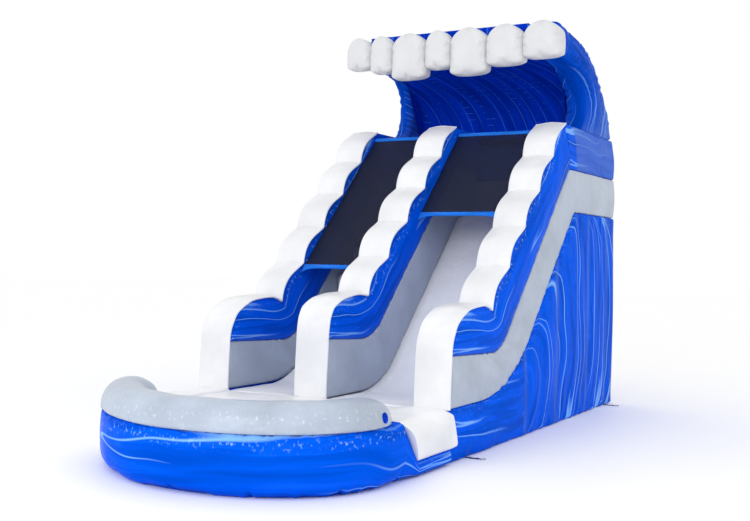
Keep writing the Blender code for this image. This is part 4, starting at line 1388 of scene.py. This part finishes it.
class SLIDE_OT_nets(bpy.types.Operator):
    """Builds the shade nets over the lanes and the vinyl bars that hold them."""

    bl_idname = "slide.nets"
    bl_label = "Nets"

    def execute(self, context):
        for side, low_x, high_x, (low, high) in (
            ("left", -SIDE_INSIDE, MIDDLE_LOW, LEFT_NET), ("right", MIDDLE_HIGH, SIDE_INSIDE, RIGHT_NET),
        ):
            for end, (y, z) in (("low", low), ("high", high)):
                node = f"net_bar_{side}_{end}"
                points, along, around = bolster(strip(y, z), low_x + 0.002, high_x - 0.002, 0.006, 80)
                if end == "low":
                    near = np.exp(-np.minimum(along, along[-1] - along) / 0.05)[:, None]
                    near = near * (points[..., 2] < z)
                    points[..., 1] -= 0.035 * near
                    points[..., 2] -= 0.05 * near
                points[..., 1:] += 0.002 * cloud(along[:, None] * 30, around[:, :-1] * 30, 112)[..., None]
                grid = (points, along, around)
                make(f"net_sleeve_{side}_{end}", grid, "bar blue vinyl", [node])
            first, last = np.array(low), np.array(high)
            run = (last - first) / np.linalg.norm(last - first)
            line = spread([first + run * NET_BAR * 0.97, last - run * NET_BAR * 0.97], 90)
            square = np.array((-run[1], run[0]))
            length = float(np.linalg.norm(line[-1] - line[0]))
            thick = square * 0.0012
            grid = chamber(
                line - thick, line + thick, low_x + 0.003, high_x - 0.003, 0.001,
                counts=(14, 1, 1), ends=0.0005,
            )
            points, along, around = grid[:3]
            share = np.clip(along / length, 0, 1)[:, None]
            across = (points[..., 0] - low_x) / (high_x - low_x)
            sag = -0.03 * np.sin(math.pi * share) * np.sin(math.pi * np.clip(across, 0, 1))
            slant = points[..., 0] * 0.8 + share * length
            fold = 0.009 * cloud(slant * 7, points[..., 0] * 2 - share * 1.5, 111)
            sag = sag + fold * np.sin(math.pi * share) ** 0.5
            points[..., 1] += square[0] * sag
            points[..., 2] += square[1] * sag
            net = make("shade_net_" + side, (points, along, around), "black shade net", ["net_" + side])
        return {"FINISHED"}


class SLIDE_OT_anchors(bpy.types.Operator):
    """Builds the webbing tabs and D-rings along the foot of the sides."""

    bl_idname = "slide.anchors"
    bl_label = "Anchors"

    def execute(self, context):
        for side, sign in (("left", -1), ("right", 1)):
            for end, y in STRAP_PLACES.items():
                node = f"anchor_strap_{side}_{end}"
                low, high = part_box(node)
                near, far = min(abs(low.x), abs(high.x)), max(abs(low.x), abs(high.x))
                x = np.linspace(near + 0.002, far - 0.004, 40)
                lift = 0.002 + 0.003 * np.sin((x - near) * 40) ** 2
                floor = np.stack([x, lift - 0.002], axis=1)
                roof = np.stack([x, lift + 0.0015], axis=1)
                half = (high.y - low.y) / 2
                points, along, around = chamber(
                    floor, roof, y - half, y + half, 0.001, counts=(8, 1, 1), axes=(0, 2, 1), ends=0.001
                )[:3]
                points[..., 0] *= sign
                make(f"webbing_tab_{side}_{end}", (points, along, around), "navy webbing", [node])
                low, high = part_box(f"anchor_ring_{side}_{end}")
                middle = np.array(((low.x + high.x) / 2, (low.y + high.y) / 2 - FRONT))
                t = np.linspace(0, math.tau, 64, endpoint=False)
                reach = (high.x - low.x) / 2 - 0.004
                path = middle + reach * np.stack([np.cos(t) * sign, np.sin(t)], axis=1)
                path[:, 0] = np.where(np.cos(t) < -0.75, middle[0] - sign * 0.75 * reach, path[:, 0])
                u = np.linspace(0, math.tau, 12, endpoint=False)
                step = np.roll(path, -1, axis=0) - np.roll(path, 1, axis=0)
                step /= np.linalg.norm(step, axis=1)[:, None]
                out = np.stack([step[:, 1], -step[:, 0]], axis=1)
                points = np.zeros((len(t), len(u), 3))
                points[..., :2] = path[:, None] + out[:, None] * (0.004 * np.cos(u))[None, :, None]
                points[..., 2] = 0.004 + 0.004 * np.sin(u)
                wire_ring(f"d_ring_{side}_{end}", points, [f"anchor_ring_{side}_{end}"])
        return {"FINISHED"}


def wire_ring(name, points, replaced):
    """A tube that closes on itself: rows and columns both join up."""
    rows, columns = points.shape[:2]
    flat = points.reshape(-1, 3) + (0, FRONT, 0)
    row, column = np.meshgrid(np.arange(rows), np.arange(columns), indexing="ij")
    after = (column + 1) % columns
    here = row * columns
    below = (row + 1) % rows * columns
    quads = np.stack([here + column, here + after, below + after, below + column], axis=-1).reshape(-1, 4)
    a, b, c, d = (flat[quads[:, number]] for number in range(4))
    if np.sum(a * np.cross(b, c)) + np.sum(a * np.cross(c, d)) < 0:
        quads = quads[:, ::-1]
    mesh = bpy.data.meshes.new(name)
    mesh.from_pydata(flat.tolist(), [], quads.tolist())
    mesh.shade_smooth()
    mesh.materials.append(finish("zinc-plated steel"))
    made = bpy.data.objects.new(name, mesh)
    bpy.context.scene.collection.objects.link(made)
    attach(made, "root")
    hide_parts(*replaced)


# Stage

def studio_floor(name):
    """Painted studio floor, rolled and matt: even and nearly white."""
    material, tree, shader = new_material(name, 0.6, 1.45)
    place = add(tree, "ShaderNodeTexCoord").outputs["Object"]
    patches = noise(tree, place, 0.6, 2.0)
    paint = ramp(tree, patches, [(0.3, linear("#FEFEFE")), (0.7, linear("#FFFFFF"))])
    tree.links.new(paint, shader.inputs["Base Color"])
    return material


def soft_box(name, place, target, size, power):
    """A white rectangular lamp at a place, aimed at a target."""
    light = bpy.data.lights.new(name, "AREA")
    light.shape = "RECTANGLE"
    light.size, light.size_y = size
    light.energy = power
    made = bpy.data.objects.new(name, light)
    made.location = place
    made.rotation_euler = (Vector(target) - Vector(place)).to_track_quat("-Z", "Y").to_euler()
    bpy.context.scene.collection.objects.link(made)


class SLIDE_OT_stage(bpy.types.Operator):
    """Adds the pale floor, the soft lights and the camera."""

    bl_idname = "slide.stage"
    bl_label = "Stage"

    def execute(self, context):
        scene = context.scene
        scene.view_settings.view_transform = "Standard"
        mesh = bpy.data.meshes.new("studio_floor")
        reach = 60
        corners = [(-reach, -reach, 0), (reach, -reach, 0), (reach, reach, 0), (-reach, reach, 0)]
        mesh.from_pydata(corners, [], [(0, 1, 2, 3)])
        mesh.materials.append(studio_floor("painted studio floor"))
        floor = bpy.data.objects.new("studio_floor", mesh)
        scene.collection.objects.link(floor)
        world = bpy.data.worlds.new("studio")
        world.use_nodes = True
        back = world.node_tree.nodes["Background"]
        back.inputs["Color"].default_value = (1, 1, 1, 1)
        back.inputs["Strength"].default_value = settings().stage.sky
        scene.world = world
        key = settings().stage.key
        soft_box("front_box", (0.5, -12.5, 5.0), (0, 1, 1.8), (6, 4), key)
        soft_box("side_box", (9, -2, 6.5), (0, 1, 2), (2, 2), key * 0.05)
        camera = bpy.data.cameras.new("photo_camera")
        camera.lens = CAMERA_LENS
        camera.sensor_width = 36
        camera.clip_end = 200
        a, e, r = CAMERA_YAW, CAMERA_PITCH, CAMERA_ROLL
        right = Vector((math.cos(a), math.sin(a), 0))
        ahead = Vector((-math.sin(a) * math.cos(e), math.cos(a) * math.cos(e), math.sin(e)))
        up = right.cross(ahead)
        turned_right = right * math.cos(r) + up * math.sin(r)
        turned_up = up * math.cos(r) - right * math.sin(r)
        made = bpy.data.objects.new("photo_camera", camera)
        x, y, z = CAMERA_PLACE
        turn = Matrix((turned_right, turned_up, -ahead)).transposed().to_4x4()
        made.matrix_world = Matrix.Translation((x, y + FRONT, z)) @ turn
        scene.collection.objects.link(made)
        scene.camera = made
        return {"FINISHED"}


BUILDERS = (
    SLIDE_OT_pool, SLIDE_OT_landing, SLIDE_OT_tower, SLIDE_OT_rungs, SLIDE_OT_lane_walls,
    SLIDE_OT_platform_walls, SLIDE_OT_wave, SLIDE_OT_crest, SLIDE_OT_nets, SLIDE_OT_anchors, SLIDE_OT_stage,
)


class SLIDE_PT_panel(bpy.types.Panel):
    """Lists the builders and the settings."""

    bl_idname = "SLIDE_PT_panel"
    bl_label = "Water slide"
    bl_space_type = "VIEW_3D"
    bl_region_type = "UI"
    bl_category = "Slide"

    def draw(self, context):
        for group in ("vinyl", "shape", "stage"):
            owner = getattr(context.scene.water_slide, group)
            for name in owner.__annotations__:
                self.layout.prop(owner, name)
        for builder in BUILDERS:
            self.layout.operator(builder.bl_idname)


CLASSES = (SlideVinyl, SlideShape, SlideStage, SlideSettings, *BUILDERS, SLIDE_PT_panel)


def register():
    for item in CLASSES:
        bpy.utils.register_class(item)
    bpy.types.Scene.water_slide = PointerProperty(type=SlideSettings)


def unregister():
    del bpy.types.Scene.water_slide
    for item in reversed(CLASSES):
        bpy.utils.unregister_class(item)


def main():
    register()
    for builder in BUILDERS:
        group, name = builder.bl_idname.split(".")
        getattr(getattr(bpy.ops, group), name)()


if __name__ == "__main__":
    main()
